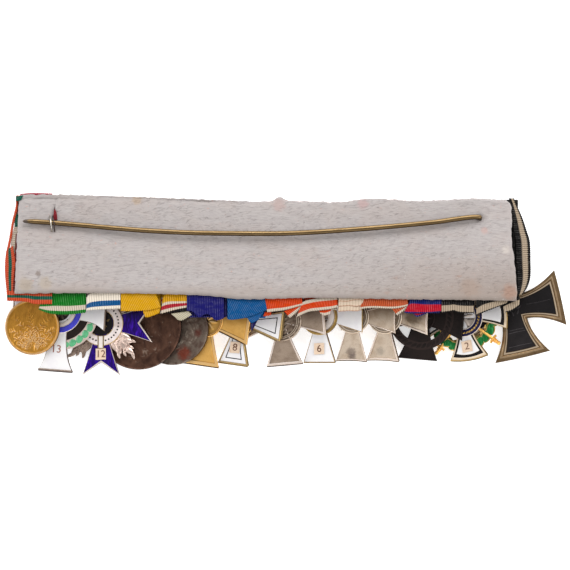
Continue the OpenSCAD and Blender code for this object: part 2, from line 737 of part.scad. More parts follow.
// Suspension rings
module ring(i) {
    color(i == 0 || i == 5 ? "#c89a50" : "#b4aca0")
    translate(ring_at(i) - middle)
        rotate_extrude() translate([ring_r, 0]) circle(d = ring_d, $fn = 20);
}

// Paper labels: the medal that each is on and its place down the lower arm, as a share of cross_reach
LABELS = [[2, 0.71], [6, 0.63], [8, 0.74], [12, 0.69]];

module number_label(k) {
    i = LABELS[k][0];
    color("#ecd2b4")
    in_medal(i)
    translate([-label_w / 2, -LABELS[k][1] * cross_reach - label_h / 2, arm_t / 2 + glue_gap])
        cube([label_w, label_h, label_t]);
}

RIBBON_TONES = ["#e05f3c", "#148732", "#f0e1cd", "#ebaf19", "#e6aa23", "#282382", "#1464aa", "#e14b14",
    "#e14b14", "#d8c8b0", "#cd5f3c", "#192d82", "#282422", "#2c2826"];

felt_back();
pin_needle();
pin_catch();
catch_patch();
for (i = [0:COUNT - 1]) {
    tag = str(i < 9 ? "0" : "", i + 1);
    ribbon(i, RIBBON_TONES[i]);
    ring(i);
}
for (k = [0:len(LABELS) - 1])
    number_label(k);
medal_01();
medal_02();
medal_03();
medal_04();
medal_05();
medal_06();
medal_07();
medal_08();
medal_09();
medal_10();
medal_11();
medal_12();
medal_13();
medal_14();
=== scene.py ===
"""Dresses the mounted medal group: a bar of fourteen decorations that lies face down with its felt back up.

Lengths are millimetres until a piece is placed, and metres in Blender. The bar has a frame of its own: u runs
along it, v up its back from the felt's lower line, w out of the felt. A medal's frame has its centre at the
origin and its back, the side that shows, towards +z.
"""

import json
import math

import bmesh
import bpy
import numpy as np
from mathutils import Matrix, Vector


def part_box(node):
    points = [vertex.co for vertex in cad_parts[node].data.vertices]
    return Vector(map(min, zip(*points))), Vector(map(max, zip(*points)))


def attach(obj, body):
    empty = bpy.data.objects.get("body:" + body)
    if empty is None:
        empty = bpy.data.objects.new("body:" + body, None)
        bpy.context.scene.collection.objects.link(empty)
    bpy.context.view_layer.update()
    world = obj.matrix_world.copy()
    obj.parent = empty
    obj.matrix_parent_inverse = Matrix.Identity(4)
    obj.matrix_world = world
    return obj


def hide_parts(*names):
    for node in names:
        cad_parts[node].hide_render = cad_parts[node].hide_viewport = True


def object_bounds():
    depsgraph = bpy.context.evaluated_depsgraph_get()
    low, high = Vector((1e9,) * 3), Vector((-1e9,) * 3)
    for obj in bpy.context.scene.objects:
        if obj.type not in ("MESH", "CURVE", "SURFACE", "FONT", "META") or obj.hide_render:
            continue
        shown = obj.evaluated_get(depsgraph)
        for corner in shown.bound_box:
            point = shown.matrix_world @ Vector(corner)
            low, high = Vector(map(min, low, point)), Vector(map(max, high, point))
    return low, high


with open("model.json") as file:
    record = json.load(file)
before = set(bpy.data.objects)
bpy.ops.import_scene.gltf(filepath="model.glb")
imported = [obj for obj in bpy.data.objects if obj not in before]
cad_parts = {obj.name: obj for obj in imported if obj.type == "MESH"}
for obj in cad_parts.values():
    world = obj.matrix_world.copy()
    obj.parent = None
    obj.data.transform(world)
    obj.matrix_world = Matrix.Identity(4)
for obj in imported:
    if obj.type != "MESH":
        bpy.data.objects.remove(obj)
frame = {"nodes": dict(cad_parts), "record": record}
CAD_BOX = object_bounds()

MM = 0.001

# Thicknesses of the bar's layers, in millimetres
RIBBON_T = 1.0
FOLD_GAP = 0.45
SOFT_GAP = 0.3
FELT_T = 1.8
BAND_T = 0.6
FOLD_H = 2 * RIBBON_T + FOLD_GAP
FELT_Z = FOLD_H + SOFT_GAP
BACK_Z = FELT_Z + FELT_T
PIN_D = 2.2
PIN_STAND = 1.7

# Sizes of the medals, in millimetres
CROSS_REACH = 18.7
ARM_T = 1.4
DISK_T = 2.0
FIELD_DEPTH = 0.25
EYE_R = 1.15
EYE_D = 0.8
RING_R = 2.6
RING_D = 0.8
FLARE = 1.35
END_STEP = 1.3
NECK_STEP = 0.75

# The photograph's scale, and the pixel where the middle of the bar meets the felt's lower line
PIXEL = 0.43
MIDDLE_PX = 267
LINE_PY = 297
IMAGE_PX = 570
# The pixel column up to which the pin's point is darkened
PIN_POINT_PX = 27


# Frames that the pieces are made in

def cad_points(node):
    return np.array([v.co for v in frame["nodes"][node].data.vertices], float) / MM


def top_normal(node):
    """The unit normal of a CAD node's largest face that looks up."""
    mesh = frame["nodes"][node].data
    largest = max((p for p in mesh.polygons if p.normal.z > 0.5), key=lambda p: p.area)
    return np.array(largest.normal, float)


class BarFrame:
    """Where the leaning bar lies, read off the felt back."""

    TOP_SHARE = 1.033
    LOW_SHARE = -0.033

    def __init__(self):
        self.out = top_normal("felt_back")
        self.lean = math.asin(self.out[1])
        self.up = np.array([0, math.cos(self.lean), -math.sin(self.lean)])
        points = cad_points("felt_back")
        u, v, w = points[:, 0], points @ self.up, points @ self.out
        self.length = u.max() - u.min()
        self.height = (v.max() - v.min()) / (self.TOP_SHARE - self.LOW_SHARE)
        self.u0 = (u.max() + u.min()) / 2
        self.v0 = v.min() - self.LOW_SHARE * self.height
        self.w0 = w.max() - BACK_Z

    def place(self, points):
        p = np.asarray(points, float)
        return (np.outer(p[:, 0] + self.u0, (1, 0, 0)) + np.outer(p[:, 1] + self.v0, self.up)
                + np.outer(p[:, 2] + self.w0, self.out))

    def seen(self, px, py, w):
        """The point at height w over the bar's face that the photograph shows at a pixel."""
        seen_up = (LINE_PY - py) * PIXEL
        up = (seen_up - w * math.sin(self.lean)) / math.cos(self.lean)
        return np.array([(px - MIDDLE_PX) * PIXEL, up, w])

    def at(self, px, py, w=BACK_Z):
        """The point at a pixel and a height over the bar's face, in the part's own frame."""
        return tuple(self.place([self.seen(px, py, w)])[0])


BAR = BarFrame()


# Meshes under construction

class Form:
    """Points and faces of one piece, with a UV for each point and a relief value that sets its painted shade
    and highlight.
    """

    def __init__(self):
        self.points, self.faces, self.uv, self.relief = [], [], [], []
        self.count = 0

    def add(self, points, faces, uv=None, relief=0.0):
        points = np.asarray(points, float)
        self.faces += [[k + self.count for k in f] for f in faces]
        self.points.append(points)
        self.uv.append(np.zeros((len(points), 2)) if uv is None else np.asarray(uv, float))
        self.relief.append(np.broadcast_to(np.asarray(relief, float), len(points)))
        self.count += len(points)
        return self

    def skin(self, rings, loop=False, uv=None, relief=0.0):
        """Joins closed rings of equally many points, and closes the ends unless they make a loop."""
        rings = np.asarray(rings, float)
        n, m = rings.shape[:2]
        faces = []
        for i in range(n if loop else n - 1):
            a, b = i * m, (i + 1) % n * m
            faces += [[a + j, a + (j + 1) % m, b + (j + 1) % m, b + j] for j in range(m)]
        if not loop:
            faces.append(list(range(m))[::-1])
            faces.append([(n - 1) * m + j for j in range(m)])
        return self.add(rings.reshape(-1, 3), faces, uv, relief)

    def both_faces(self, other):
        """Adds another form and its mirror image below the middle plane."""
        points, uv, relief = np.vstack(other.points), np.vstack(other.uv), np.concatenate(other.relief)
        for side in (1, -1):
            faces = other.faces if side > 0 else [f[::-1] for f in other.faces]
            self.add(points * (1, 1, side), faces, uv, relief)
        return self


def linked(name, data):
    """A new object in the scene."""
    thing = bpy.data.objects.new(name, data)
    bpy.context.scene.collection.objects.link(thing)
    return thing


def settle(name, mesh, replaces=()):
    """A finished mesh, in metres, as a piece of the one body."""
    piece = linked(name, mesh)
    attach(piece, "root")
    if replaces:
        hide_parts(*replaces)
    return piece


def make(name, form, place, material, replaces=(), smooth_deg=32):
    """A form as a piece, with its normals outwards, and sharp where it turns by more than smooth_deg."""
    mesh = bpy.data.meshes.new(name)
    points = place(np.vstack(form.points)) * MM
    mesh.from_pydata(points.tolist(), [], form.faces)
    mesh.validate()
    work = bmesh.new()
    work.from_mesh(mesh)
    bmesh.ops.recalc_face_normals(work, faces=work.faces)
    work.to_mesh(mesh)
    work.free()
    uv, relief = np.vstack(form.uv), np.concatenate(form.relief)
    corner_points = np.zeros(len(mesh.loops), int)
    mesh.loops.foreach_get("vertex_index", corner_points)
    layer = mesh.uv_layers.new(name="weave")
    layer.data.foreach_set("uv", uv[corner_points].astype(np.float32).ravel())
    attribute = mesh.attributes.new("relief", "FLOAT", "POINT")
    attribute.data.foreach_set("value", relief.astype(np.float32))
    mesh.shade_smooth()
    mesh.set_sharp_from_angle(angle=math.radians(smooth_deg))
    mesh.materials.append(material)
    return settle(name, mesh, replaces)


# Shader maths

class Value:
    """A socket's value. Python's operators on it add Math nodes."""

    def __init__(self, wiring, socket):
        self.wiring, self.socket = wiring, socket

    def maths(self, operation, *others):
        return self.wiring.node("ShaderNodeMath", {"operation": operation},
                                {k: x for k, x in enumerate((self, *others))})

    def __add__(self, other):
        return self.maths("ADD", other)

    def __sub__(self, other):
        return self.maths("SUBTRACT", other)

    def __mul__(self, other):
        return self.maths("MULTIPLY", other)

    def rise(self, low, high):
        """0 below low and 1 above high, smooth between. With low above high it falls instead."""
        return self.wiring.node("ShaderNodeMapRange", {"interpolation_type": "SMOOTHSTEP"},
                                {"Value": self, "From Min": low, "From Max": high})

    def wave(self, pitch):
        """From 0 to 1 and back over each pitch, 0 in the grooves."""
        return self.maths("MULTIPLY", 2 * math.pi / pitch).maths("SINE") * 0.5 + 0.5

    def within(self, low, high, soft):
        """1 between low and high and 0 outside, smooth over soft to each side of both."""
        return self.rise(low - soft, low + soft) * self.rise(high + soft, high - soft)


class Wiring:
    """Adds nodes to a tree, each with its settings and the values or links of its sockets."""

    def __init__(self, tree):
        self.tree = tree
        tree.nodes.clear()

    def put(self, socket, value):
        if isinstance(value, Value):
            self.tree.links.new(value.socket, socket)
        elif isinstance(value, (tuple, list)) and len(value) == 3 and socket.type == "RGBA":
            socket.default_value = (*value, 1)
        else:
            socket.default_value = value

    def node(self, kind, settings=None, sockets=None, out=0):
        made = self.tree.nodes.new(kind)
        for key, value in (settings or {}).items():
            setattr(made, key, value)
        for key, value in (sockets or {}).items():
            self.put(made.inputs[key], value)
        return Value(self, made.outputs[out]) if made.outputs else made


class Look(Wiring):
    """A material made of nodes, with its colour, roughness and height set by expressions."""

    def __init__(self, name, **constants):
        self.material = bpy.data.materials.new(name)
        self.material.use_nodes = True
        super().__init__(self.material.node_tree)
        self.shader = self.tree.nodes.new("ShaderNodeBsdfPrincipled")
        output = self.tree.nodes.new("ShaderNodeOutputMaterial")
        self.tree.links.new(self.shader.outputs[0], output.inputs["Surface"])
        for key, value in constants.items():
            self.shader.inputs[key.replace("_", " ").title().replace("Ior", "IOR")].default_value = value

    def mix(self, share, a, b):
        """A colour between a and b."""
        return self.node("ShaderNodeMix", {"data_type": "RGBA"}, {0: share, 6: a, 7: b}, out=2)

    def place(self):
        """The point on the object, in millimetres."""
        return self.times(self.node("ShaderNodeTexCoord", out=3), (1 / MM,) * 3)

    def times(self, vector, factors):
        """A vector with each of its numbers multiplied by its own factor."""
        return self.node("ShaderNodeVectorMath", {"operation": "MULTIPLY"}, {0: vector, 1: factors})

    def parts(self, vector):
        return [self.node("ShaderNodeSeparateXYZ", sockets={0: vector}, out=k) for k in range(3)]

    def spot(self, where, centre, size):
        """1 at a point of the object and 0 further away than size from it, with a ragged edge."""
        away = self.node("ShaderNodeVectorMath", {"operation": "DISTANCE"}, {0: where, 1: centre}, out=1)
        away = away + (self.noise((size * 0.4,) * 3, 3, 0.6, 0.3, where) - 0.5) * size
        return away.rise(size, size * 0.35)

    def noise(self, sizes, detail=3.0, rough=0.55, twist=0.0, where=None):
        """Noise from 0 to 1 whose lumps measure sizes, in millimetres along x, y and z."""
        stretched = self.times(where or self.place(), tuple(1 / s for s in sizes))
        return self.node("ShaderNodeTexNoise", sockets={
            "Vector": stretched, "Scale": 1.0, "Detail": detail, "Roughness": rough, "Distortion": twist})

    def weave(self):
        """How far along and across its ribbon a point lies, in millimetres."""
        uv = self.node("ShaderNodeUVMap", {"uv_map": "weave"})
        return self.parts(uv)[:2]

    def relief(self):
        return self.node("ShaderNodeAttribute", {"attribute_name": "relief"}, out=2)

    def finish(self, colour, roughness, height=None, depth=0.1, strength=0.6):
        """Links the expressions. depth is the height's reach in millimetres."""
        self.put(self.shader.inputs["Base Color"], colour)
        self.put(self.shader.inputs["Roughness"], roughness)
        if height is not None:
            bump = self.node("ShaderNodeBump", sockets={
                "Strength": strength, "Distance": depth * MM, "Height": height})
            self.put(self.shader.inputs["Normal"], bump)
        return self.material


def linear(level):
    """A channel that looks like this on screen, from 0 to 255, as linear light."""
    return level / 255 / 12.92 if level < 11 else ((level / 255 + 0.055) / 1.055) ** 2.4


def srgb(red, green, blue):
    """A colour as it looks on screen, from 0 to 255, as linear light."""
    return linear(red), linear(green), linear(blue)


def scaled(colour, gain):
    return tuple(c * gain for c in colour)


DYE_GAIN = 0.76
CLOTH_GAIN = 0.82
FELT_GAIN = 0.81


def dyed(red, green, blue):
    """The base colour of cloth, enamel or paper that looks like this on screen under the scene's light."""
    return scaled(srgb(red, green, blue), DYE_GAIN)


# Marks on the felt: the photograph's pixel, the size in millimetres, the colour and its strength
FELT_MARKS = [((363, 204), 3.2, (205, 172, 170), .7), ((484, 231), 2.2, (212, 176, 168), .6),
              ((505, 250), 2.4, (226, 216, 208), .7), ((279, 205), 4.0, (206, 178, 172), .6),
              ((39, 273.5), 1.6, (150, 136, 128), .8), ((27, 285), 4.5, (190, 174, 156), .7),
              ((46, 283), 4.0, (194, 178, 160), .6), ((137, 200), 3.0, (200, 176, 152), .7),
              ((509, 292), 4.5, (182, 140, 118), .6), ((470, 288), 6.0, (178, 156, 142), .6)]
# The catch's slit: its pixel, its half width, and how far it runs down and up, in millimetres
SLIT_PX = (54.9, 219.5)
SLIT_HALF_W = 0.22
SLIT_DOWN, SLIT_UP = 4.6, 4.8


def felt_look():
    """Grey felt with a grain along the bar, smudges, rust-brown at the lower right, the seen marks and the
    slit's painted shade.
    """
    def dyed_felt(*tone):
        return scaled(dyed(*tone), FELT_GAIN)

    look = Look("felt", sheen_weight=0.1, sheen_roughness=0.5, specular_ior_level=0.2)
    where = look.place()
    x, y, _ = look.parts(where)
    fibre = look.noise((3.4, 0.36, 0.36), 4, 0.6, 0.25, where)
    fine = look.noise((1.2, 0.2, 0.2), 3, 0.6, 0.2, where)
    cloud = look.noise((16, 9, 9), 3, 0.5, 0.5, where)
    smudge = look.noise((7, 2.2, 2.2), 4, 0.62, 0.8, where).rise(0.58, 0.78)
    low_right = x.rise(-20, 112) * y.rise(19, -4)
    low_edge = y.rise(1.5, -5.5)
    rust = look.noise((5, 3, 3), 2, 0.5, 0.4, where).rise(0.62, 0.76) * low_right
    pink = look.noise((1.6, 1.2, 1.2), 2, 0.5, 0.6, where).rise(0.69, 0.76)
    pale = look.noise((0.9, 0.5, 0.5), 2, 0.5, 1.0, where).rise(0.66, 0.78)
    slit_x, slit_y, _ = BAR.at(*SLIT_PX)
    slit = x.within(slit_x - SLIT_HALF_W, slit_x + SLIT_HALF_W, 0.2)
    slit = slit * y.within(slit_y - SLIT_DOWN, slit_y + SLIT_UP, 0.6)
    layers = [(fine.rise(0.35, 0.8) * 0.25, (164, 154, 155)), (cloud.rise(0.4, 0.7) * 0.4, (200, 186, 180)),
              (smudge * 0.35, (142, 131, 132)), (low_right * 0.75, (168, 152, 142)),
              (low_edge * (cloud * 0.7 + 0.1), (172, 156, 144)), (rust * 0.6, (176, 134, 112)),
              (pink * 0.7, (214, 176, 166)), (pale * 0.75, (226, 220, 214))]
    for centre, size, tone, share in FELT_MARKS:
        layers.append((look.spot(where, BAR.at(*centre), size) * share, tone))
    # Painted shade in the catch's slit
    layers.append((slit * 0.9, (60, 50, 48)))
    colour = look.mix(fibre.rise(0.3, 0.72), dyed_felt(192, 184, 183), dyed_felt(209, 202, 199))
    for share, tone in layers:
        colour = look.mix(share, colour, dyed_felt(*tone))
    return look.finish(colour, 0.95, fibre * 0.7 + fine * 0.5, 0.1, 0.2)


# The pitch of a ribbon's threads across it, in millimetres
THREAD_PITCH = 0.34


def ribbon_look(name, base, stripes, pitch, groove_shade=0.5):
    """Ribbed ribbon with painted shade in its grooves. A stripe is its distance from the selvedge, its width
    and its colour.
    """
    look = Look(name, specular_ior_level=0.08)
    along, across = look.weave()
    rib = along.wave(pitch)
    edge = across + rib * 0.12
    colour = scaled(base, CLOTH_GAIN)
    for start, width, tone in stripes:
        colour = look.mix(edge.within(start, start + width, 0.07), colour, scaled(tone, CLOTH_GAIN))
    thread = across.wave(THREAD_PITCH)
    worn = look.noise((3, 1.6, 1.6), 3, 0.6, 0.3)
    darker = look.mix(groove_shade, colour, (0.0, 0.0, 0.0))
    lighter = look.mix(0.1, colour, (1.0, 0.95, 0.88))
    # Painted shade in the grooves between the ribs
    colour = look.mix(rib.rise(0.0, 0.55), darker, colour)
    # Lighter rib crests in worn patches: wear and a painted highlight
    colour = look.mix(rib.rise(0.6, 1.0) * worn.rise(0.35, 0.7) * 0.7, colour, lighter)
    # Painted shade between the threads
    colour = look.mix(thread.rise(0.4, 0.0) * 0.3, colour, darker)
    colour = look.mix(worn.rise(0.55, 0.8) * 0.25, colour, darker)
    return look.finish(colour, 0.72, rib * 0.5 + thread * 0.25, 0.07, 0.4)


def flat_at(px, py):
    """The floor's point at a pixel of the photograph, with no height."""
    x, y, _ = BAR.at(px, py, 0)
    return x, y, 0.0


# The tint of a painted highlight on a raised edge of bare metal, in each channel
HIGHLIGHT_TINT = (1, 0.86, 0.7)


def metal_look(name, bright, dark, rough, tarnish, grain, patch=4, metallic=1.0, shade=0.5, marks=(),
               lit=0.8):
    """Cast or struck metal, tarnished in patches, with tarnish and painted shade in its hollows, painted shade
    towards the ribbons.
    """
    bright, dark = srgb(*bright), srgb(*dark)
    look = Look(name, metallic=metallic, specular_ior_level=0.5 if metallic else 0.12)
    where = look.place()
    cloud = look.noise((patch,) * 3, 4, 0.6, 0.6, where)
    fine = look.noise((0.35, 0.35, 0.35), 3, 0.6, 0.0, where)
    scratch = look.noise((0.12, 3.5, 3.5), 2, 0.5, 0.3, where)
    hollow = look.relief()
    colour = look.mix(cloud.rise(0.35, 0.75) * tarnish, bright, dark)
    colour = look.mix(fine.rise(0.45, 0.85) * 0.35, colour, dark)
    # Tarnish and painted shade in the hollows
    colour = look.mix(hollow.rise(-0.05, -1.0), colour, scaled(dark, 0.35))
    # Painted shade towards the ribbons
    colour = look.mix(look.parts(where)[1].rise(-21, -10) * shade, colour, scaled(dark, 0.35))
    # A painted highlight on raised parts: a lighter tint of bare metal, a brighter copy of a dull colour
    crest = tuple(c + (1 - c) * 0.32 * light if metallic else c * 2.4 for c, light in zip(bright, HIGHLIGHT_TINT))
    shine = look.mix(hollow.rise(0.2, 0.7) * lit, colour, crest)
    flat = look.times(where, (1.0, 1.0, 0.0))
    for centre, size, tone, share in marks:
        shine = look.mix(look.spot(flat, flat_at(*centre), size) * share, shine, srgb(*tone))
    roughness = cloud * 0.22 + fine * 0.12 + scratch * 0.1 + (rough - 0.18)
    return look.finish(shine, roughness, fine * 0.7 + scratch * 0.3, grain, 0.4)


def enamel_look(name, colour, tint, cloudy, gloss):
    """Glossy fired enamel, a little uneven in colour and surface, in painted shade towards the ribbons."""
    colour, tint = dyed(*colour), dyed(*tint)
    look = Look(name, coat_weight=gloss, coat_roughness=0.06, specular_ior_level=gloss)
    where = look.place()
    cloud = look.noise((cloudy,) * 3, 3, 0.5, 0.4, where)
    speck = look.noise((0.5, 0.5, 0.5), 2, 0.5, 0.0, where).rise(0.74, 0.8)
    shade = look.mix(cloud.rise(0.35, 0.75) * 0.5, colour, tint)
    shade = look.mix(speck * 0.2, shade, scaled(tint, 0.4))
    # Painted shade towards the ribbons
    shade = look.mix(look.parts(where)[1].rise(-19, -8) * 0.4, shade, scaled(tint, 0.55))
    return look.finish(shade, cloud * 0.12 + 0.16, cloud, 0.06, 0.35)


def engraved_enamel_look(name, deep, lit):
    """Clear enamel over engraved metal, which shines through in fine rays, in painted shade towards the
    ribbons.
    """
    deep, lit = dyed(*deep), dyed(*lit)
    look = Look(name, coat_weight=0.12, coat_roughness=0.05, metallic=0.2, specular_ior_level=0.1)
    where = look.place()
    ray = look.noise((0.5, 3.0, 3.0), 2, 0.5, 0.8, where)
    cloud = look.noise((5, 5, 5), 2, 0.5, 0.6, where)
    shade = look.mix(ray.rise(0.4, 0.8) * 0.7, deep, lit)
    shade = look.mix(cloud.rise(0.45, 0.7) * 0.6, shade, deep)
    # Painted shade towards the ribbons
    shade = look.mix(look.parts(where)[1].rise(-19, -10) * 0.8, shade, scaled(deep, 0.3))
    return look.finish(shade, cloud * 0.1 + 0.2, ray, 0.05, 0.3)


def paper_look():
    """Cream label paper with brown stains."""
    look = Look("label_paper")
    where = look.place()
    fibre = look.noise((0.5, 0.2, 0.5), 3, 0.6, 0.3, where)
    stain = look.noise((2, 2, 2), 3, 0.5, 0.5, where)
    colour = look.mix(fibre.rise(0.3, 0.8), dyed(226, 196, 168), dyed(240, 219, 197))
    colour = look.mix(stain.rise(0.5, 0.75) * 0.5, colour, dyed(206, 160, 126))
    return look.finish(colour, 0.85, fibre, 0.05, 0.4)


def ink_look(name, colour):
    """Ink that has worn thin in places."""
    look = Look(name)
    worn = look.noise((0.4, 0.4, 0.4), 3, 0.6)
    faded = tuple(min(1, c * 2.5 + 0.02) for c in colour)
    return look.finish(look.mix(worn.rise(0.5, 0.8) * 0.5, colour, faded), 0.7, worn, 0.02, 0.2)


# How far the pin's dark point reaches along it, in pixels
POINT_FADE_PX = 3.5


def wire_look(name, bright, dark, rough):
    """Drawn wire with streaks along it, a painted highlight on top, painted shade on its sides, and a dark
    point at the left.
    """
    bright, dark = srgb(*bright), srgb(*dark)
    look = Look(name, metallic=1.0)
    where = look.place()
    streak = look.noise((9, 0.6, 0.6), 4, 0.6, 0.4, where)
    spot = look.noise((1.2, 0.8, 0.8), 3, 0.6, 0.2, where)
    _, across = look.weave()
    colour = look.mix(streak.rise(0.35, 0.7) * 0.5, bright, dark)
    # A painted highlight along the top, painted shade just under it, and painted shade along both sides
    colour = look.mix(across.within(0.0, 0.35, 0.15) * 0.5, colour, tuple(min(1.0, c * 1.7) for c in bright))
    colour = look.mix(across.within(-0.42, -0.2, 0.1) * 0.7, colour, dark)
    colour = look.mix(across.maths("ABSOLUTE").rise(0.55, 0.95) * 0.8, colour, scaled(dark, 0.5))
    colour = look.mix(spot.rise(0.6, 0.8) * 0.5, colour, scaled(dark, 0.4))
    bare, darkened = (BAR.at(px, LINE_PY)[0] for px in (PIN_POINT_PX + POINT_FADE_PX, PIN_POINT_PX))
    point = look.parts(where)[0].rise(bare, darkened)
    colour = look.mix(point * 0.85, colour, srgb(84, 76, 74))
    return look.finish(colour, streak * 0.2 + rough, spot, 0.03, 0.4)


BLACK = dyed(16, 14, 14)
CREAM = dyed(232, 216, 196)
DULL_CREAM = dyed(190, 170, 146)
FLAME = dyed(230, 70, 8)
# Each ribbon: its colour, its stripes as distance from the selvedge, width and colour, its ribs' pitch, and
# how dark the painted shade in its grooves is where that isn't 0.5
RIBBON_LOOKS = {
    "ribbon_orange_green": (dyed(222, 84, 44), [(1.7, 1.4, dyed(10, 98, 78))], 0.95),
    "ribbon_green": (dyed(16, 130, 32), [(1.4, 1.9, CREAM)], 0.95),
    "ribbon_cream_blue": (dyed(255, 242, 224), [(1.3, 2.3, dyed(12, 88, 146))], 1.0, 0.3),
    "ribbon_yellow": (dyed(240, 178, 16), [], 0.8),
    "ribbon_yellow_edged": (
        dyed(228, 166, 10),
        [(-2, 3.6, BLACK), (1.6, 0.8, CREAM), (2.4, 1.1, dyed(186, 28, 48)), (3.5, 0.7, CREAM)], 0.95),
    "ribbon_indigo": (dyed(26, 24, 116), [], 0.85),
    "ribbon_blue": (dyed(8, 92, 156), [], 0.85),
    "ribbon_flame": (FLAME, [(-2, 3.1, CREAM)], 0.75),
    "ribbon_flame_narrow": (FLAME, [(-2, 3.1, CREAM), (3.5, 3, CREAM)], 0.75),
    "ribbon_cream": (dyed(228, 206, 182), [(-1, 1.3, dyed(216, 168, 140))], 1.3, 0.16),
    "ribbon_rust": (dyed(206, 92, 48), [(-2, 2.8, CREAM)], 0.92),
    "ribbon_blue_crimson": (dyed(18, 38, 118), [(0.6, 2.6, dyed(204, 14, 44))], 0.9),
    "ribbon_black": (BLACK, [(0.5, 2.6, DULL_CREAM)], 1.0),
    "left_end": (dyed(222, 88, 52), [(1.35, 1.2, dyed(12, 96, 78))], 0.85),
    "crimson_edge": (dyed(186, 26, 62), [], 0.85),
    "left_cream": (dyed(222, 204, 184), [], 0.85),
    "left_dark": (dyed(112, 34, 30), [], 0.85),
    "right_end": (BLACK, [(0.56, 0.88, DULL_CREAM)], 0.85),
    "cream_tag": (dyed(216, 206, 178), [], 0.8),
    # Navy for sheets of painted shade among the ribbons
    "navy_fold": (dyed(22, 18, 84), [], 0.85),
}


# Each metal: its material, its colour on screen where it's bright and where it's dark, its roughness, tarnish
# and grain, the size of its patches in millimetres, and what else sets it apart. A mark is a pixel of the
# photograph, a size, a colour and a strength.
METALS = {
    "gold": ("struck_gold", (186, 134, 56), (124, 82, 26), .4, .45, .05, 6, {"shade": .25, "lit": .55}),
    "gilt": ("satin_gilt", (242, 190, 106), (192, 132, 58), .34, .5, .03, 5, {"shade": .6}),
    "gilt_edge": ("gilt_edge", (196, 160, 96), (112, 88, 46), .28, .6, .12, 4, {}),
    "dark_bronze": ("dark_bronze", (92, 66, 54), (44, 29, 26), .45, .85, .12, 6, {"lit": .35}),
    "patina": ("patinated_bronze", (108, 96, 86), (66, 40, 34), .5, .7, .15, 3, {
        "lit": .4, "marks": [((184, 353), 4.0, (112, 48, 34), .8), ((198, 333), 2.2, (96, 46, 38), .6)]}),
    "silver": ("toned_silver", (182, 162, 144), (100, 80, 66), .36, .5, .05, 5, {"shade": .7}),
    "pale_silver": ("pale_silver", (232, 214, 194), (150, 118, 84), .36, .5, .04, 5, {
        "shade": .85, "marks": [
            ((351, 352), 2.8, (112, 96, 92), .6), ((352, 357), 2.2, (92, 78, 78), .6),
            ((380, 351), 2.4, (160, 148, 134), .5), ((413, 317), 5.0, (88, 74, 58), .8)]}),
    "dull_silver": ("dull_silver", (150, 132, 120), (84, 66, 58), .5, .6, .1, 4, {}),
    "bright_silver": ("bright_silver", (226, 212, 202), (172, 154, 142), .45, .3, .01, 4, {}),
    "scroll": ("pinkish_silver", (232, 210, 198), (122, 96, 86), .3, .6, .06, 2, {}),
    "frame_silver": ("iron_cross_frame", (160, 132, 98), (84, 66, 48), .38, .6, .06, 4, {
        "shade": .1, "lit": 1.0}),
}
# The metals drawn in the same way without a metal's shine: surfaces so dark or dirty that they no longer look
# like bare metal, and the dark edges, which also stand for side walls in painted shade
DULL_METALS = {
    "iron": ("blackened_iron", (34, 31, 32), (13, 11, 12), .42, .6, .12),
    "worn_iron": ("worn_iron", (66, 62, 64), (34, 31, 32), .4, .6, .08),
    "brown_black": ("worn_black", (29, 21, 19), (11, 8, 8), .55, .7, .14),
    "shadow_edge": ("dark_edge", (72, 54, 38), (36, 27, 20), .5, .6, .06),
    "grey_edge": ("grey_edge", (100, 92, 90), (60, 54, 54), .5, .6, .06),
    "brown_edge": ("brown_edge", (122, 102, 66), (74, 58, 36), .5, .6, .06),
}
# Each enamel: its material, its colour and its tint on screen, the size of its clouds and its gloss
ENAMELS = {
    "white": ("white_enamel", (246, 244, 244), (234, 230, 236), 3, 0.4),
    "warm_white": ("warm_white_enamel", (240, 230, 222), (222, 204, 194), 3, 0.4),
    "cream_edge": ("cream_enamel", (236, 216, 190), (214, 184, 146), 3, 0.4),
    "belt": ("belt_enamel", (252, 242, 238), (204, 172, 166), 4, 0.4),
    "cobalt": ("cobalt_enamel", (74, 74, 224), (34, 32, 160), 1.5, 0.3),
    "navy": ("navy_enamel", (26, 24, 72), (14, 12, 40), 3, 0.15),
    "mint": ("mint_enamel", (96, 186, 132), (44, 140, 90), 1.2, 0.4),
    "black_line": ("black_line", (26, 22, 24), (12, 10, 12), 3, 0.12),
    # The dark ground of a cross's middle, also used as a plate of painted shade
    "dark_ground": ("dark_ground", (40, 30, 26), (18, 12, 20), 3, 0.12),
}


def make_looks():
    """Every finish, by the name that the pieces call it."""
    looks = {name: ribbon_look(name, *row) for name, row in RIBBON_LOOKS.items()}
    for name, (*row, more) in METALS.items():
        looks[name] = metal_look(*row, **more)
    for name, row in DULL_METALS.items():
        looks[name] = metal_look(*row, metallic=0.0)
    for name, row in ENAMELS.items():
        looks[name] = enamel_look(*row)
    looks.update(
        felt=felt_look(),
        pin=wire_look("pin_brass", (128, 106, 74), (66, 50, 32), 0.3),
        catch=wire_look("catch_steel", (205, 198, 188), (120, 112, 104), 0.25),
        dark_catch=wire_look("dark_steel", (92, 80, 76), (40, 32, 32), 0.35),
        patch=ribbon_look("red_cloth", dyed(146, 16, 34), [], 0.5),
        leaf_green=engraved_enamel_look("leaf_green_enamel", (10, 104, 44), (84, 176, 104)),
        violet=engraved_enamel_look("violet_enamel", (30, 0, 96), (84, 30, 220)),
        paper=paper_look(),
        ink=ink_look("numeral_ink", dyed(96, 54, 30)),
        red_ink=ink_look("red_numeral_ink", dyed(150, 84, 62)),
    )
    return looks


LOOKS = make_looks()


# Lines and surfaces

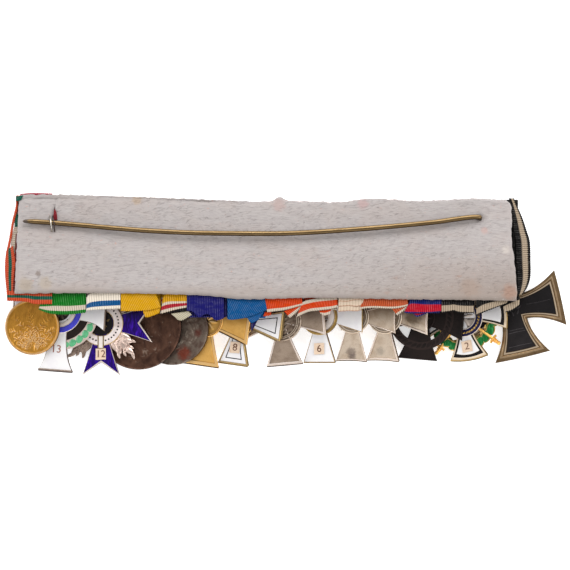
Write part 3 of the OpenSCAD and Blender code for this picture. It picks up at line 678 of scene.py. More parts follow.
def smooth(line, per=8):
    """A curve through the points of a line."""
    line = np.asarray(line, float)
    ends = np.vstack([2 * line[0] - line[1], line, 2 * line[-1] - line[-2]])
    t = np.linspace(0, 1, per, endpoint=False)[:, None]
    pieces = []
    for a, b, c, d in zip(ends, ends[1:], ends[2:], ends[3:]):
        pieces.append(b + 0.5 * t * (c - a + t * (2 * a - 5 * b + 4 * c - d + t * (3 * (b - c) + d - a))))
    return np.vstack([*pieces, line[-1:]])


def run_along(line):
    """How far along a line each of its points lies."""
    return np.concatenate([[0], np.cumsum(np.linalg.norm(np.diff(line, axis=0), axis=1))])


def along_line(line, share):
    """Points at shares of a line's length."""
    line = np.asarray(line, float)
    run = run_along(line)
    reach = np.asarray(share) * run[-1]
    return np.stack([np.interp(reach, run, column) for column in line.T], axis=1)


def wobble(x, y, size, seed):
    """A smooth random height, mostly from -1 to 1, whose lumps measure size."""
    draw = np.random.default_rng(seed)
    total = 0
    for _ in range(6):
        angle, phase = draw.uniform(0, 2 * math.pi, 2)
        rate = 2 * math.pi / (size * draw.uniform(0.7, 1.7))
        total = total + np.sin(rate * (x * math.cos(angle) + y * math.sin(angle)) + phase)
    return total / 3


def unit(vectors):
    return vectors / np.maximum(np.linalg.norm(vectors, axis=-1, keepdims=True), 1e-12)


def grid_quads(rows, columns):
    """The numbers of a grid's points, and its four-sided faces."""
    index = np.arange(rows * columns).reshape(rows, columns)
    quads = np.stack([index[:-1, :-1], index[:-1, 1:], index[1:, 1:], index[1:, :-1]], axis=-1)
    return index, quads.reshape(-1, 4)


def slab(form, top, under, uv):
    """A closed solid between two grids of points that lie over each other."""
    index, quads = grid_quads(*top.shape[:2])
    n = index.size
    rim = np.concatenate([index[0], index[1:, -1], index[-1, -2::-1], index[-2:0:-1, 0]])
    following = np.roll(rim, -1)
    sides = np.stack([following, rim, rim + n, following + n], axis=-1)
    faces = np.vstack([quads, quads[:, ::-1] + n, sides])
    points = np.vstack([top.reshape(-1, 3), under.reshape(-1, 3)])
    return form.add(points, faces.tolist(), np.vstack([uv.reshape(-1, 2)] * 2))


def tube(form, path, radii, sides=12):
    """A rod with closed ends that follows a line of points. Its second UV goes from -1 to 1 across it."""
    path = np.asarray(path, float)
    radii = np.broadcast_to(radii, len(path))
    tangent = unit(np.gradient(path, axis=0))
    side = np.zeros_like(path)
    carried = np.cross(tangent[0], (0.1, 0.2, 1.0))
    for k, t in enumerate(tangent):
        carried = carried - t * (carried @ t)
        side[k] = carried = carried / np.linalg.norm(carried)
    up = np.cross(tangent, side)
    angle = np.linspace(0, 2 * math.pi, sides, endpoint=False)
    round_it = np.cos(angle)[None, :, None] * side[:, None] + np.sin(angle)[None, :, None] * up[:, None]
    rings = path[:, None] + radii[:, None, None] * round_it
    across = np.stack(np.broadcast_arrays(np.arange(len(path))[:, None], -np.cos(angle)[None]), axis=-1)
    return form.skin(rings, uv=across.reshape(-1, 2))


# Points to a rib along a band, and the first points in from its selvedges and its ends, in millimetres
RIB_POINTS = 5
EDGE_STEPS = np.array([0, 0.1, 0.28])


def band(form, lines, pitch, thick=BAND_T, depth=0.04, slant=0.0, across=None, wave=0.12, scallop=0.0, seed=1,
         row_step=0.55):
    """Ribbed ribbon over two or more lines that run along it, the first one its near selvedge.

    across gives the distance from the selvedge to the first and the last line, at the left and the right end.
    """
    lines = [smooth(line) for line in lines]
    length = float(np.linalg.norm(np.diff(lines[0], axis=0), axis=1).sum())
    near_end = EDGE_STEPS / length
    share = np.linspace(0, 1, max(6, int(length / pitch * RIB_POINTS)))[1:-1]
    share = np.concatenate([near_end, share[(share > near_end[-1] * 1.3) & (share < 1 - near_end[-1] * 1.3)],
                            1 - near_end[::-1]])
    rails = np.array([along_line(line, share) for line in lines])
    reach = np.concatenate([[0], np.cumsum(np.linalg.norm(np.diff(rails, axis=0), axis=2).mean(axis=1))])
    width = reach[-1]
    inner = np.linspace(0, width, max(5, int(width / row_step)))[1:-1]
    inner = inner[(inner > 0.35) & (inner < width - 0.35)]
    rows = np.concatenate([EDGE_STEPS, inner, width - EDGE_STEPS[::-1]])
    grid = np.array([[np.interp(rows, reach, rails[:, c, k]) for c in range(len(share))] for k in range(3)])
    grid = grid.transpose(2, 1, 0)
    run, up = share[None, :] * length, rows[:, None]
    (low_l, high_l), (low_r, high_r) = across or ((0, width), (0, width))
    low = low_l + (low_r - low_l) * share[None, :]
    high = high_l + (high_r - high_l) * share[None, :]
    weft = low + (high - low) * up / width
    warp = run + slant * weft
    normal = unit(np.cross(np.gradient(grid, axis=1), np.gradient(grid, axis=0)))
    normal = normal * np.where(normal[..., 2:] < 0, -1.0, 1.0) if len(lines) == 2 else normal
    rib = np.cos(2 * math.pi * warp / pitch)
    outward = unit(grid[0] - grid[1])
    near = np.exp(-rows / 0.3)[:, None, None]
    grid = grid + outward[None] * near * (scallop * rib[:1, :, None])
    edge = np.minimum(np.minimum(up, width - up), np.minimum(run, length - run))
    half = thick / 2 * (0.12 + 0.88 * np.sqrt(1 - (1 - np.clip(edge / (thick / 2), 0, 1)) ** 2))
    lift = wave * wobble(run, up * 1.6, 7.0, seed) * np.clip(up / 2, 0, 1)
    top = grid + normal * (lift + half + depth * rib)[..., None]
    under = grid + normal * (lift - half - depth * rib)[..., None]
    uv = np.stack(np.broadcast_arrays(warp, weft), axis=-1)
    return slab(form, top, under, uv)


# Camera, floor and light

CAMERA_HEIGHT = 3.0
SENSOR = 36.0
# Half the floor's side, and how far it lies under the CAD's lowest point, in metres
FLOOR_HALF = 2.5
FLOOR_DROP = 0.0002


def make_camera():
    """Straight over the middle of the picture, with the bar along its width."""
    data = bpy.data.cameras.new("camera")
    camera = linked("camera", data)
    x, y, _ = BAR.at(IMAGE_PX / 2, IMAGE_PX / 2, 0)
    data.sensor_width = SENSOR
    data.lens = SENSOR * CAMERA_HEIGHT / (IMAGE_PX * PIXEL * MM)
    camera.location = (x * MM, y * MM, CAMERA_HEIGHT)
    bpy.context.scene.camera = camera


def make_floor():
    """A pale floor under the group, which isn't part of it."""
    mesh = bpy.data.meshes.new("floor")
    level = CAD_BOX[0].z - FLOOR_DROP
    corners = [(FLOOR_HALF * x, FLOOR_HALF * y, level) for x, y in ((-1, -1), (1, -1), (1, 1), (-1, 1))]
    mesh.from_pydata(corners, [], [(0, 1, 2, 3)])
    floor = linked("floor", mesh)
    look = Look("pale_floor", emission_strength=0.5)
    cloud = look.noise((90, 90, 90), 2)
    mesh.materials.append(look.finish(look.mix(cloud, (0.93, 0.93, 0.93), (0.96, 0.96, 0.96)), 0.9))


# Softboxes: their place, width, height and power
SOFTBOXES = [((0.25, 1.0, 0.75), 1.3, 0.7, 15.0), ((-1.05, 0.15, 0.6), 0.9, 0.6, 6.0),
             ((1.05, -0.1, 0.6), 0.9, 0.6, 5.0), ((0.0, -1.0, 0.6), 1.2, 0.5, 5.0)]
SKY = 0.62


def make_light():
    """A pale sky and four softboxes that the camera doesn't see."""
    world = bpy.data.worlds.new("studio")
    world.use_nodes = True
    sky = world.node_tree.nodes["Background"].inputs
    sky["Color"].default_value = (1.0, 0.995, 0.985, 1)
    sky["Strength"].default_value = SKY
    bpy.context.scene.world = world
    for number, (place, width, height, power) in enumerate(SOFTBOXES, 1):
        data = bpy.data.lights.new(f"softbox_{number}", "AREA")
        data.shape, data.size, data.size_y, data.energy = "RECTANGLE", width, height, power
        lamp = linked(f"softbox_{number}", data)
        lamp.location = place
        lamp.rotation_euler = (-Vector(place)).to_track_quat("-Z", "Y").to_euler()
        lamp.visible_camera = False
    bpy.context.scene.view_settings.view_transform = "Standard"


make_camera()
make_floor()
make_light()


# Felt back

# The felt's outline, anticlockwise from the lower left: shares of the bar's length and height
FELT_LOW = [(-.5, .041), (-.366, .048), (-.235, .041), (-.121, .02), (-.052, -.016), (.026, -.01),
            (.07, -.003), (.137, -.003), (.265, -.016), (.39, -.022), (.495, -.033)]
FELT_RIGHT = [(.495, -.033), (.495, .133), (.491, .378), (.486, .593), (.486, .92), (.476, .995)]
FELT_TOP = [(-.486, 1.003), (-.404, 1.01), (-.235, .994), (-.127, .981), (-.018, .97), (.01, .985),
            (.024, 1.027), (.04, .99), (.088, .981), (.149, .978), (.207, 1.014), (.305, .99), (.412, 1.015),
            (.476, .995)]
FELT_LEFT = [(-.5, .041), (-.493, .971), (-.486, 1.003)]
# Where the catch comes through, and the pin's last point, as the same shares
CATCH_AT = (-.4225, .82)
PIN_HOLE = (.421, .815)
# The slit's half length, half width and depth, and the hole's radius and depth
SLIT_HALF = 5.2
SLIT_NARROW = 0.42
SLIT_DEPTH = 1.3
HOLE_R = 1.5
HOLE_DEPTH = 1.4
# How far the felt's edges are ragged, the points of its grid along and up the bar, and its count of fibres
RAGGED = 0.22
FELT_POINTS = (227, 45)
FIBRES = 3900


def bar_line(shares, height=BACK_Z):
    """Points that stand this high over the bar's face, moved down it by what the lean makes them rise."""
    return np.array(shares, float) * (BAR.length, BAR.height) - (0, height * math.tan(BAR.lean))


def felt_grid():
    """The felt's plan between its four edges, a little ragged, as rows of points."""
    u = np.linspace(-0.5, 0.5, FELT_POINTS[0])
    slit = CATCH_AT[0] + np.array([-0.9, -0.55, -0.3, 0, 0.3, 0.55, 0.9]) / BAR.length
    share_u = np.unique(np.concatenate([u, slit])) + 0.5
    share_v = np.linspace(0, 1, FELT_POINTS[1])
    low, top = (along_line(smooth(bar_line(line)), share_u) for line in (FELT_LOW, FELT_TOP))
    left, right = (along_line(smooth(bar_line(line)), share_v) for line in (FELT_LEFT, FELT_RIGHT))
    for line, across, seed in ((low, 1, 3), (top, 1, 4), (left, 0, 5), (right, 0, 6)):
        run = line[:, 1 - across]
        line[:, across] += RAGGED * (0.6 * wobble(run, 0, 3.5, seed) + 0.5 * wobble(run, 0, 1.5, seed + 40))
    left[0], right[0], left[-1], right[-1] = low[0], low[-1], top[0], top[-1]
    s, t = share_u[None, :, None], share_v[:, None, None]
    corners = (1 - s) * (1 - t) * low[0] + s * (1 - t) * low[-1] + (1 - s) * t * top[0] + s * t * top[-1]
    return (1 - t) * low[None] + t * top[None] + (1 - s) * left[:, None] + s * right[:, None] - corners


def felt_heights(plan):
    """How high the felt's face and its underside lie, with the slit, the pin's hole and soft creases."""
    u, v = plan[..., 0], plan[..., 1]
    edge_u = np.minimum(np.abs(u - u[:, :1]), np.abs(u - u[:, -1:]))
    edge_v = np.minimum(np.abs(v - v[:1]), np.abs(v - v[-1:]))
    edge = np.minimum(edge_u, edge_v)
    fall = np.sqrt(1 - (1 - np.clip(edge / 1.1, 0, 1)) ** 2)
    face = BACK_Z - 0.62 * FELT_T * (1 - fall)
    face += 0.06 * wobble(u, v * 2.2, 9, 11) * fall + 0.012 * wobble(u, v * 3.0, 3, 12) * fall
    slit_u, slit_v = bar_line(CATCH_AT)
    cut = np.exp(-((u - slit_u) / SLIT_NARROW) ** 2)
    face -= SLIT_DEPTH * cut * np.clip(SLIT_HALF - np.abs(v - slit_v), 0, 0.8) / 0.8
    hole_u, hole_v = bar_line(PIN_HOLE, BACK_Z + PIN_D / 2)
    face -= HOLE_DEPTH * np.exp(-((u - hole_u - 0.3) ** 2 + (v - hole_v) ** 2) / HOLE_R ** 2)
    under = FELT_Z + 0.3 * FELT_T * (1 - fall)
    inner = np.clip((np.minimum(edge_v, edge_u) - 5.5) / 1.5, 0, 1)
    return face, under - (FELT_Z - 1.35) * inner * inner * (3 - 2 * inner)


def new_tree(name, inputs, result):
    """An empty geometry tree with named inputs, as its wiring and the inputs' values."""
    tree = bpy.data.node_groups.new(name, "GeometryNodeTree")
    for label, kind in inputs.items():
        tree.interface.new_socket(label, in_out="INPUT", socket_type="NodeSocket" + kind)
    tree.interface.new_socket(result, in_out="OUTPUT", socket_type="NodeSocketGeometry")
    w = Wiring(tree)
    given = tree.nodes.new("NodeGroupInput")
    return w, [Value(w, socket) for socket in given.outputs[:len(inputs)]]


def end_tree(w, placed, finish):
    """Makes what a tree has placed real, gives it its material and hands it out."""
    real = w.node("GeometryNodeRealizeInstances", sockets={0: placed})
    finished = w.node("GeometryNodeSetMaterial", sockets={"Geometry": real, "Material": finish})
    w.node("NodeGroupOutput", sockets={0: finished})
    return w.tree


def fibre_tree():
    """Scatters a bent fibre over a surface, each turned near the grain and of its own size."""
    w, (surface, fibre, density, spread, seed, finish) = new_tree("lying_fibres", {
        "Surface": "Geometry", "Fibre": "Object", "Density": "Float", "Spread": "Float", "Seed": "Int",
        "Finish": "Material"}, "Fibres")

    def random(low, high):
        return w.node("FunctionNodeRandomValue", {"data_type": "FLOAT"},
                      {"Min": low, "Max": high, "Seed": seed}, out=1)
    scattered = w.node("GeometryNodeDistributePointsOnFaces",
                       sockets={"Mesh": surface, "Density": density, "Seed": seed})
    angle = random(-1.0, 1.0)
    turn = w.node("ShaderNodeCombineXYZ", sockets={"Z": angle * angle * angle * spread})
    size = random(0.5, 1.3)
    thing = w.node("GeometryNodeObjectInfo", sockets={"Object": fibre}, out=4)
    spun = w.node("FunctionNodeEulerToRotation", sockets={0: turn})
    placed = w.node("GeometryNodeInstanceOnPoints", sockets={
        "Points": scattered, "Instance": thing, "Rotation": spun, "Scale": size})
    return end_tree(w, placed, finish)


def grown(name, source, tree, inputs):
    """The plain mesh that a geometry tree makes of a source mesh, with the tree's inputs set by name."""
    carrier = linked(name + "_source", source)
    modifier = carrier.modifiers.new("pattern", "NODES")
    modifier.node_group = tree
    for item in tree.interface.items_tree:
        if item.in_out == "INPUT" and item.name in inputs:
            modifier[item.identifier] = inputs[item.name]
    evaluated = carrier.evaluated_get(bpy.context.evaluated_depsgraph_get())
    mesh = bpy.data.meshes.new_from_object(evaluated)
    carrier.modifiers.remove(modifier)
    bpy.data.objects.remove(carrier)
    mesh.name = name
    return mesh


def loose_mesh(name, form, place=lambda points: points):
    """A mesh in metres that is only used to make others."""
    mesh = bpy.data.meshes.new(name)
    mesh.from_pydata((place(np.vstack(form.points)) * MM).tolist(), [], form.faces)
    return mesh


def helper_object(name, mesh):
    """An unseen object that a tree reads and that is removed afterwards."""
    thing = linked(name, mesh)
    thing.hide_render = True
    return thing


# A fibre's bent line, and its radii along it
FIBRE_LINE = [(-1.3, 0.12, -0.02), (-0.5, -0.05, 0.03), (0.4, 0.08, 0.04), (1.3, -0.15, -0.02)]
FIBRE_RADII = [0.02, 0.045, 0.045, 0.02]


def make_felt():
    """The felt as one sheet, and loose fibres that lie on it."""
    plan = felt_grid()
    face, under = felt_heights(plan)
    top = np.concatenate([plan, face[..., None]], axis=-1)
    bottom = np.concatenate([plan, under[..., None]], axis=-1)
    felt = make("felt_back_sheet", slab(Form(), top, bottom, plan), BAR.place, LOOKS["felt"],
                ["felt_back"], 60)
    BAR.height * MM
    inside = top[2:-2, 2:-2]
    _, quads = grid_quads(*inside.shape[:2])
    surface = loose_mesh("felt_face", Form().add(inside.reshape(-1, 3), quads.tolist()), BAR.place)
    bent = tube(Form(), smooth(FIBRE_LINE, 1), FIBRE_RADII, 3)
    fibre = helper_object("fibre", loose_mesh("fibre", bent))
    area = BAR.length * BAR.height * MM * MM
    mesh = grown("felt_fibres", surface, fibre_tree(), {
        "Fibre": fibre, "Density": FIBRES / area, "Spread": 1.3, "Seed": 5, "Finish": LOOKS["felt"]})
    settle("felt_fibres", mesh)
    bpy.data.objects.remove(fibre)


make_felt()


# Pin and catch

# The pin's line: shares of the bar's length and height, and of the pin's clear height over the felt
PIN = [(-.485, .775, .45), (-.455, .768, .42), (-.422, .757, .4), (-.36, .73, .55), (-.3, .702, .75),
       (-.233, .676, .9), (-.145, .655, 1), (-.044, .648, 1), (.026, .648, 1), (.0875, .66, 1),
       (.163, .686, 1), (.241, .718, .95), (.329, .762, .8), (.375, .795, .7), (.4, .812, .62),
       (.413, .817, .42), (.421, .815, 0)]
POINT_LEN = 5.0


def make_pin():
    """The pin wire, from its tapered point to the bend where it dives into the felt."""
    heights = [BACK_Z + stand * PIN_STAND + PIN_D / 2 for _, _, stand in PIN]
    line = np.array([(*bar_line((u, v), height), height) for (u, v, _), height in zip(PIN, heights)])
    dive = line[-1] * (1, 1, 0) + (0.11 * PIN_D, 0, BACK_Z - 0.1 * PIN_D)
    line = smooth(np.vstack([line, dive, dive - (0, 0, 1.2)]), 10)
    run = run_along(line)
    taper = np.sqrt(np.clip(run / POINT_LEN, 0, 1)) * 0.62 + 0.38
    tip = np.sqrt(1 - (1 - np.clip(run / 0.6, 0.02, 1)) ** 2)
    radii = PIN_D / 2 * taper * tip * (1 + 0.012 * wobble(run, 0, 14, 8))
    make("pin_wire", tube(Form(), line, radii, 20), BAR.place, LOOKS["pin"], ["pin_needle"])


# The catch's first wire and the red scrap's two sides, by the photograph's pixel and height over the felt,
# and how many pixels further right the second wire stands
CATCH_WIRE = [(50.2, 216.2, -.4), (50.6, 217.4, 1.2), (51.3, 220.2, 3.1), (51.9, 223.5, 3.35),
              (52.2, 227.5, 2.6), (52.3, 230.6, .8), (52.3, 231.8, -.4)]
CATCH_PITCH = 3.1
SCRAP = ([(54.9, 209.6, .4), (54.1, 214.5, .8), (53.8, 220.4, .6)],
         [(55.7, 209.4, .4), (57.4, 214.2, .7), (58.2, 220, .4)])


def over_felt(line, shift=0.0):
    """The bar's points for pixels and heights over the felt, shifted to the right by some pixels."""
    return [BAR.seen(px + shift, py, BACK_Z + height) for px, py, height in line]


def make_catch():
    """The staple over the pin's point, and the crumpled scrap of red cloth beside it."""
    first = tube(Form(), smooth(over_felt(CATCH_WIRE), 6), 0.36, 10)
    make("catch_staple", first, BAR.place, LOOKS["catch"], ["pin_catch"])
    # The second wire takes a darker copy of the catch's steel: painted shade
    second = tube(Form(), smooth(over_felt(CATCH_WIRE, CATCH_PITCH), 6), 0.28, 10)
    make("catch_second_wire", second, BAR.place, LOOKS["dark_catch"])
    form = band(Form(), [over_felt(line) for line in SCRAP], 0.5, 0.4, 0.06, wave=0.2, seed=21, row_step=0.2)
    make("catch_scrap", form, BAR.place, LOOKS["patch"], ["catch_patch"], 50)


make_pin()
make_catch()


def dress(node, look):
    """Gives a CAD node that stays in view its finish."""
    mesh = frame["nodes"][node].data
    mesh.materials.clear()
    mesh.materials.append(LOOKS[look])


# Ribbons

# Where each ribbon starts along the bar, as a share of its length, and where the last one ends
RIBBON_LEFTS = (-.5, -.426, -.358, -.29, -.21, -.157, -.0806, -.002, .0717, .1404, .186, .2807, .3434, .4101,
                .5)
# Each ribbon's hang below the bar and its top, as shares of RIBBON_DROP and of the bar's height
RIBBON_HANGS = (.26, 1.07, .89, .89, .71, 1.4, 1.44, .94, .94, .89, .76, 1.13, 1, .71)
RIBBON_TOPS = (1.038, 1.035, .97, .97, .965, .96, .955, .945, .945, .945, .96, .97, .99, .995)
RIBBON_DROP = 7.0
SIDE_GAP = 0.3
# How far a ribbon's turned-over top reaches down the back
TUCK = 3.4
# The height over the bar's face of the cloth that is turned over it, and of the lower layer
TURNED_W = FOLD_H - BAND_T / 2 - 0.05
UNDER_W = 1.35
# The bands of each ribbon that show under the felt: the ribbon, the photograph's pixels along the selvedge and
# along the far line, the height over the bar's face, and what sets it apart: a look that isn't the ribbon's
# own, the slant of its ribs, and the distances from the selvedge to both lines at the left and the right end
STRIPS = [
    (1, [(8.2, 300.8), (20, 301.2), (29, 302), (36, 303.9), (53, 304)],
     [(8, 290.5), (16, 291), (30, 290.5), (53, 290.5)], TURNED_W, {}),
    (2, [(39.8, 309.4), (46, 312), (53, 313.8), (64, 314.4), (75, 314), (86.8, 312.5)],
     [(41.5, 301.5), (47, 296), (53, 291.5), (64, 291), (75, 291), (86.8, 291)], 1.5, {"slant": .1}),
    (3, [(87.3, 310.4), (98, 309.5), (110, 308.9), (121.2, 308.2)],
     [(87.3, 297.5), (90.5, 293.5), (97, 291.8), (107, 290.5), (121.2, 290.5)], TURNED_W, {}),
    (4, [(121.5, 310.9), (130, 311), (143, 310.5), (152, 309.8), (161.3, 307.3)],
     [(121.5, 290.5), (130, 290.5), (143, 290.5), (150, 290.5), (156, 291)], TURNED_W, {"slant": .35}),
    (4, [(145.7, 316.9), (150, 316.8), (160, 312.9)],
     [(142.8, 309), (152, 308), (161.6, 306.2)], 1.5, {"slant": -.4}),
    (5, [(161, 313.4), (170, 312.9), (178, 312), (187.2, 311)],
     [(163.4, 298), (165.5, 294.5), (172, 291.5), (187, 291)], 1.9,
     {"slant": .1, "across": ((1.6, 5.8), (0, 8.6))}),
    (5, [(178.5, 319.8), (183, 320), (192.2, 314.8)],
     [(171.4, 313.6), (180, 312.2), (189, 310.5)], UNDER_W, {"look": "cream_tag", "slant": .3}),
    (6, [(187.2, 310.5), (193, 311.5), (199.5, 317.2), (204.5, 314.6), (209, 314.3),
         (215, 319.6), (219, 319.9), (224.2, 318)],
     [(187.5, 291.5), (193, 291.5), (200, 291.5), (204.5, 291.5), (209, 291.5), (215, 291.5), (219, 291.5),
      (224.2, 291.5)], TURNED_W, {}),
    # A navy sheet of painted shade in the gap between the fronts of ribbons 6 and 7
    (6, [(223.5, 316.5), (228.2, 317)], [(223.5, 291.5), (228.2, 291.5)], 1.0, {"look": "navy_fold"}),
    # Dark sheets of painted shade in the gaps between ribbons 8 and 9, 9 and 10, and 11 and 12
    (9, [(300.8, 303), (304, 302)], [(300.8, 292), (304, 292)], .9, {"look": "left_dark"}),
    (9, [(334.5, 306.5), (340.5, 306)], [(334.5, 293), (340.5, 293)], 1.0, {"look": "left_dark"}),
    (11, [(405.5, 305), (410.5, 304)], [(405.5, 293), (410.5, 293)], .9, {"look": "left_dark"}),
    (7, [(227.8, 319.2), (234, 319.5), (247, 317.3), (257, 314), (267.3, 309.5)],
     [(227.5, 293), (234, 293), (245, 293), (254, 293), (263.6, 293)], TURNED_W, {"slant": .45}),
    (7, [(247.5, 317.8), (251.5, 322.8), (258.5, 319.6)],
     [(247, 314), (258, 311), (266.5, 308.5)], 1.6, {"slant": -.6}),
    # Ribbon 7's tongue in navy: painted shade
    (7, [(251.3, 330.2), (252.7, 330.2)], [(250.2, 317), (260.3, 315.2)], .85, {"look": "navy_fold"}),
    (8, [(267.4, 312.1), (276, 311), (286, 309.6), (302.6, 305)],
     [(264.6, 296.5), (276, 296), (286, 296), (301.8, 296)], TURNED_W, {}),
    (8, [(290, 317.7), (296.5, 312.2), (303.4, 305.8)],
     [(283.8, 311.2), (290, 307.5), (301, 302)], 1.5, {"slant": .2}),
    (8, [(263.2, 316.4), (271, 315)], [(265, 312), (271.5, 310.5)], 1.0, {"across": ((1.2, 3), (1.2, 3))}),
    (9, [(296.5, 317), (300.5, 315), (309, 311.4), (318, 310.3), (330, 309), (337.2, 307.2)],
     [(302.5, 302), (306, 300.5), (313, 299), (320, 297.5), (330, 296), (337, 295.5)], 2.05,
     {"look": "ribbon_flame_narrow", "across": ((0, 4.6), (0, 5.3))}),
    (9, [(320.5, 313.8), (325, 315.4), (330, 313.6)], [(319, 310.5), (325, 309), (331, 307.8)], 1.3, {}),
    (10, [(338, 311.6), (348, 310.8), (356, 311), (361.6, 309.8)],
     [(338.4, 304), (348, 304.6), (356, 303.4), (363, 304)], 1.6, {}),
    (10, [(338, 306.6), (348, 305.6), (356, 306.4), (362.4, 304.8)],
     [(338.4, 299), (348, 300), (356, 298.6), (363.4, 299)], 1.95, {"slant": .1}),
    (10, [(338.2, 301), (346, 301.6), (356, 299.8), (363.4, 300.6)],
     [(338.5, 293), (348, 293), (356, 293), (363.5, 293)], 2.2, {"slant": -.1}),
    (11, [(359.3, 309.2), (365, 308.2), (375, 307.8), (391.7, 308.4), (401, 307.3), (407.4, 305.6)],
     [(363.3, 295), (368, 295), (378, 295), (391.7, 295), (401, 295), (407, 295)], TURNED_W, {}),
    (11, [(396.6, 315.2), (402, 311.4), (408.9, 305.6)], [(391.2, 308), (398, 305), (407, 301.5)], 1.5, {}),
    (12, [(403.6, 312.4), (409, 313.2), (425, 312.9), (440.9, 311.2)],
     [(409.2, 301.5), (411, 295.5), (425, 295), (440.9, 295)], 1.95,
     {"slant": .1, "across": ((0, 5.6), (0.4, 7))}),
    (12, [(412.5, 313.6), (416.6, 316.7), (425.5, 313.6)],
     [(411, 310.5), (418, 310), (426, 309.5)], 1.2, {"slant": .3}),
    (13, [(440.9, 312.7), (449, 311.7), (453, 311), (459, 312.6), (473, 313.2)],
     [(440.9, 294.5), (449, 294.5), (455, 294.5), (462, 294.5), (473, 294.5)], TURNED_W, {}),
    (14, [(475.5, 315.2), (483, 312.2), (494, 307.9), (505.5, 303.6)],
     [(475.5, 299.5), (483, 294), (494, 292.5), (512, 292)], TURNED_W, {}),
    (14, [(504.5, 312.4), (511, 310.6), (518.2, 305.5)],
     [(502.5, 302.5), (510, 298.5), (519, 296.5)], 1.35, {}),
]
# The pitch of the ribs by look, which on the cream ribbon are finer than the bars of its weave
RIB_PITCH = {look: row[2] for look, row in RIBBON_LOOKS.items()} | {"ribbon_cream": 0.6}
SLOT_OF = {row["node"]: row["material_slot"] for row in frame["record"]["subparts"]}


def front_of_ribbon(form, number):
    """The ribbon's front sheet with its lower bend and its turned-over top, and the V fold on it."""
    left = RIBBON_LEFTS[number - 1] * BAR.length + SIDE_GAP / 2
    right = RIBBON_LEFTS[number] * BAR.length - SIDE_GAP / 2
    low = -RIBBON_HANGS[number - 1] * RIBBON_DROP + 0.9
    high = RIBBON_TOPS[number - 1] * BAR.height
    half = BAND_T / 2
    bend = (TURNED_W - 0.35 - half) / 2
    middle_w = half + 0.05 + bend
    turns = np.linspace(-math.pi, -1.5 * math.pi, 6)
    section = [(low + bend + bend * math.cos(t), middle_w - bend * math.sin(t)) for t in turns]
    up = np.linspace(math.pi * 1.5, math.pi * 2.5, 9)
    section += [(v, half + 0.05) for v in np.linspace(low + 3, high - 3, 8)]
    section += [(high - bend - half + bend * math.cos(t), middle_w + bend * math.sin(t)) for t in up]
    section += [(high - TUCK, 2 * bend + half)]
    lines = [[(left, v, w), ((left + right) / 2, v, w), (right, v, w)] for v, w in section]
    band(form, lines, 5.0, depth=0.01, wave=0.05, seed=number + 60, row_step=1.2)
    top, bottom, width = high - 1.2, 0.06 * BAR.height, right - left
    for side, level in ((0, -0.27), (1, -0.62)):
        def at(share, v):
            return (left + (share if side == 0 else 1 - share) * width, v, level)
        outer = [at(0.01, top), at(0.16, (top + bottom) / 2), at(0.3, bottom)]
        inner = [at(0.4, top), at(0.57, (top + bottom) / 2), at(0.74, bottom)]
        band(form, [inner, outer], 3.0, 0.5, 0.02, wave=0.06, seed=number + 80 + side, row_step=1.5)


def ring_spot(number):
    """The middle of a medal's suspension ring."""
    low, high = (np.array(corner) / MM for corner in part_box(f"ring_{number:02d}"))
    return (low + high) / 2


def cloth_loop(form, number, hang):
    """The strip that holds the suspension ring, from the ring up to the bar's front."""
    away = np.array([*hang, 0])
    top = ring_spot(number) + RING_R * away
    side = np.array([hang[1], -hang[0], 0])
    wide, round_r = 1.0, RING_D / 2 + 0.3 + 0.35
    bar_z = (BAR.w0 - 0.15 - top[1] * BAR.out[1]) / BAR.out[2] - top[2]
    section = [(round_r, bar_z), (round_r, 0.3 * bar_z)]
    section += [(round_r * math.cos(t), round_r * math.sin(t)) for t in np.linspace(0, -math.pi, 9)]
    section += [(-round_r, 0.3 * bar_z), (-round_r, bar_z)]
    lines = [[top + away * a + (0, 0, b) + side * s for s in (-wide, 0, wide)] for a, b in section]
    world = Form()
    band(world, lines, 0.9, 0.55, 0.03, wave=0.0, seed=number, row_step=0.5)
    points = np.vstack(world.points)
    local = np.stack([points[:, 0] - BAR.u0, points @ BAR.up - BAR.v0, points @ BAR.out - BAR.w0], axis=1)
    form.add(local, world.faces, np.vstack(world.uv))


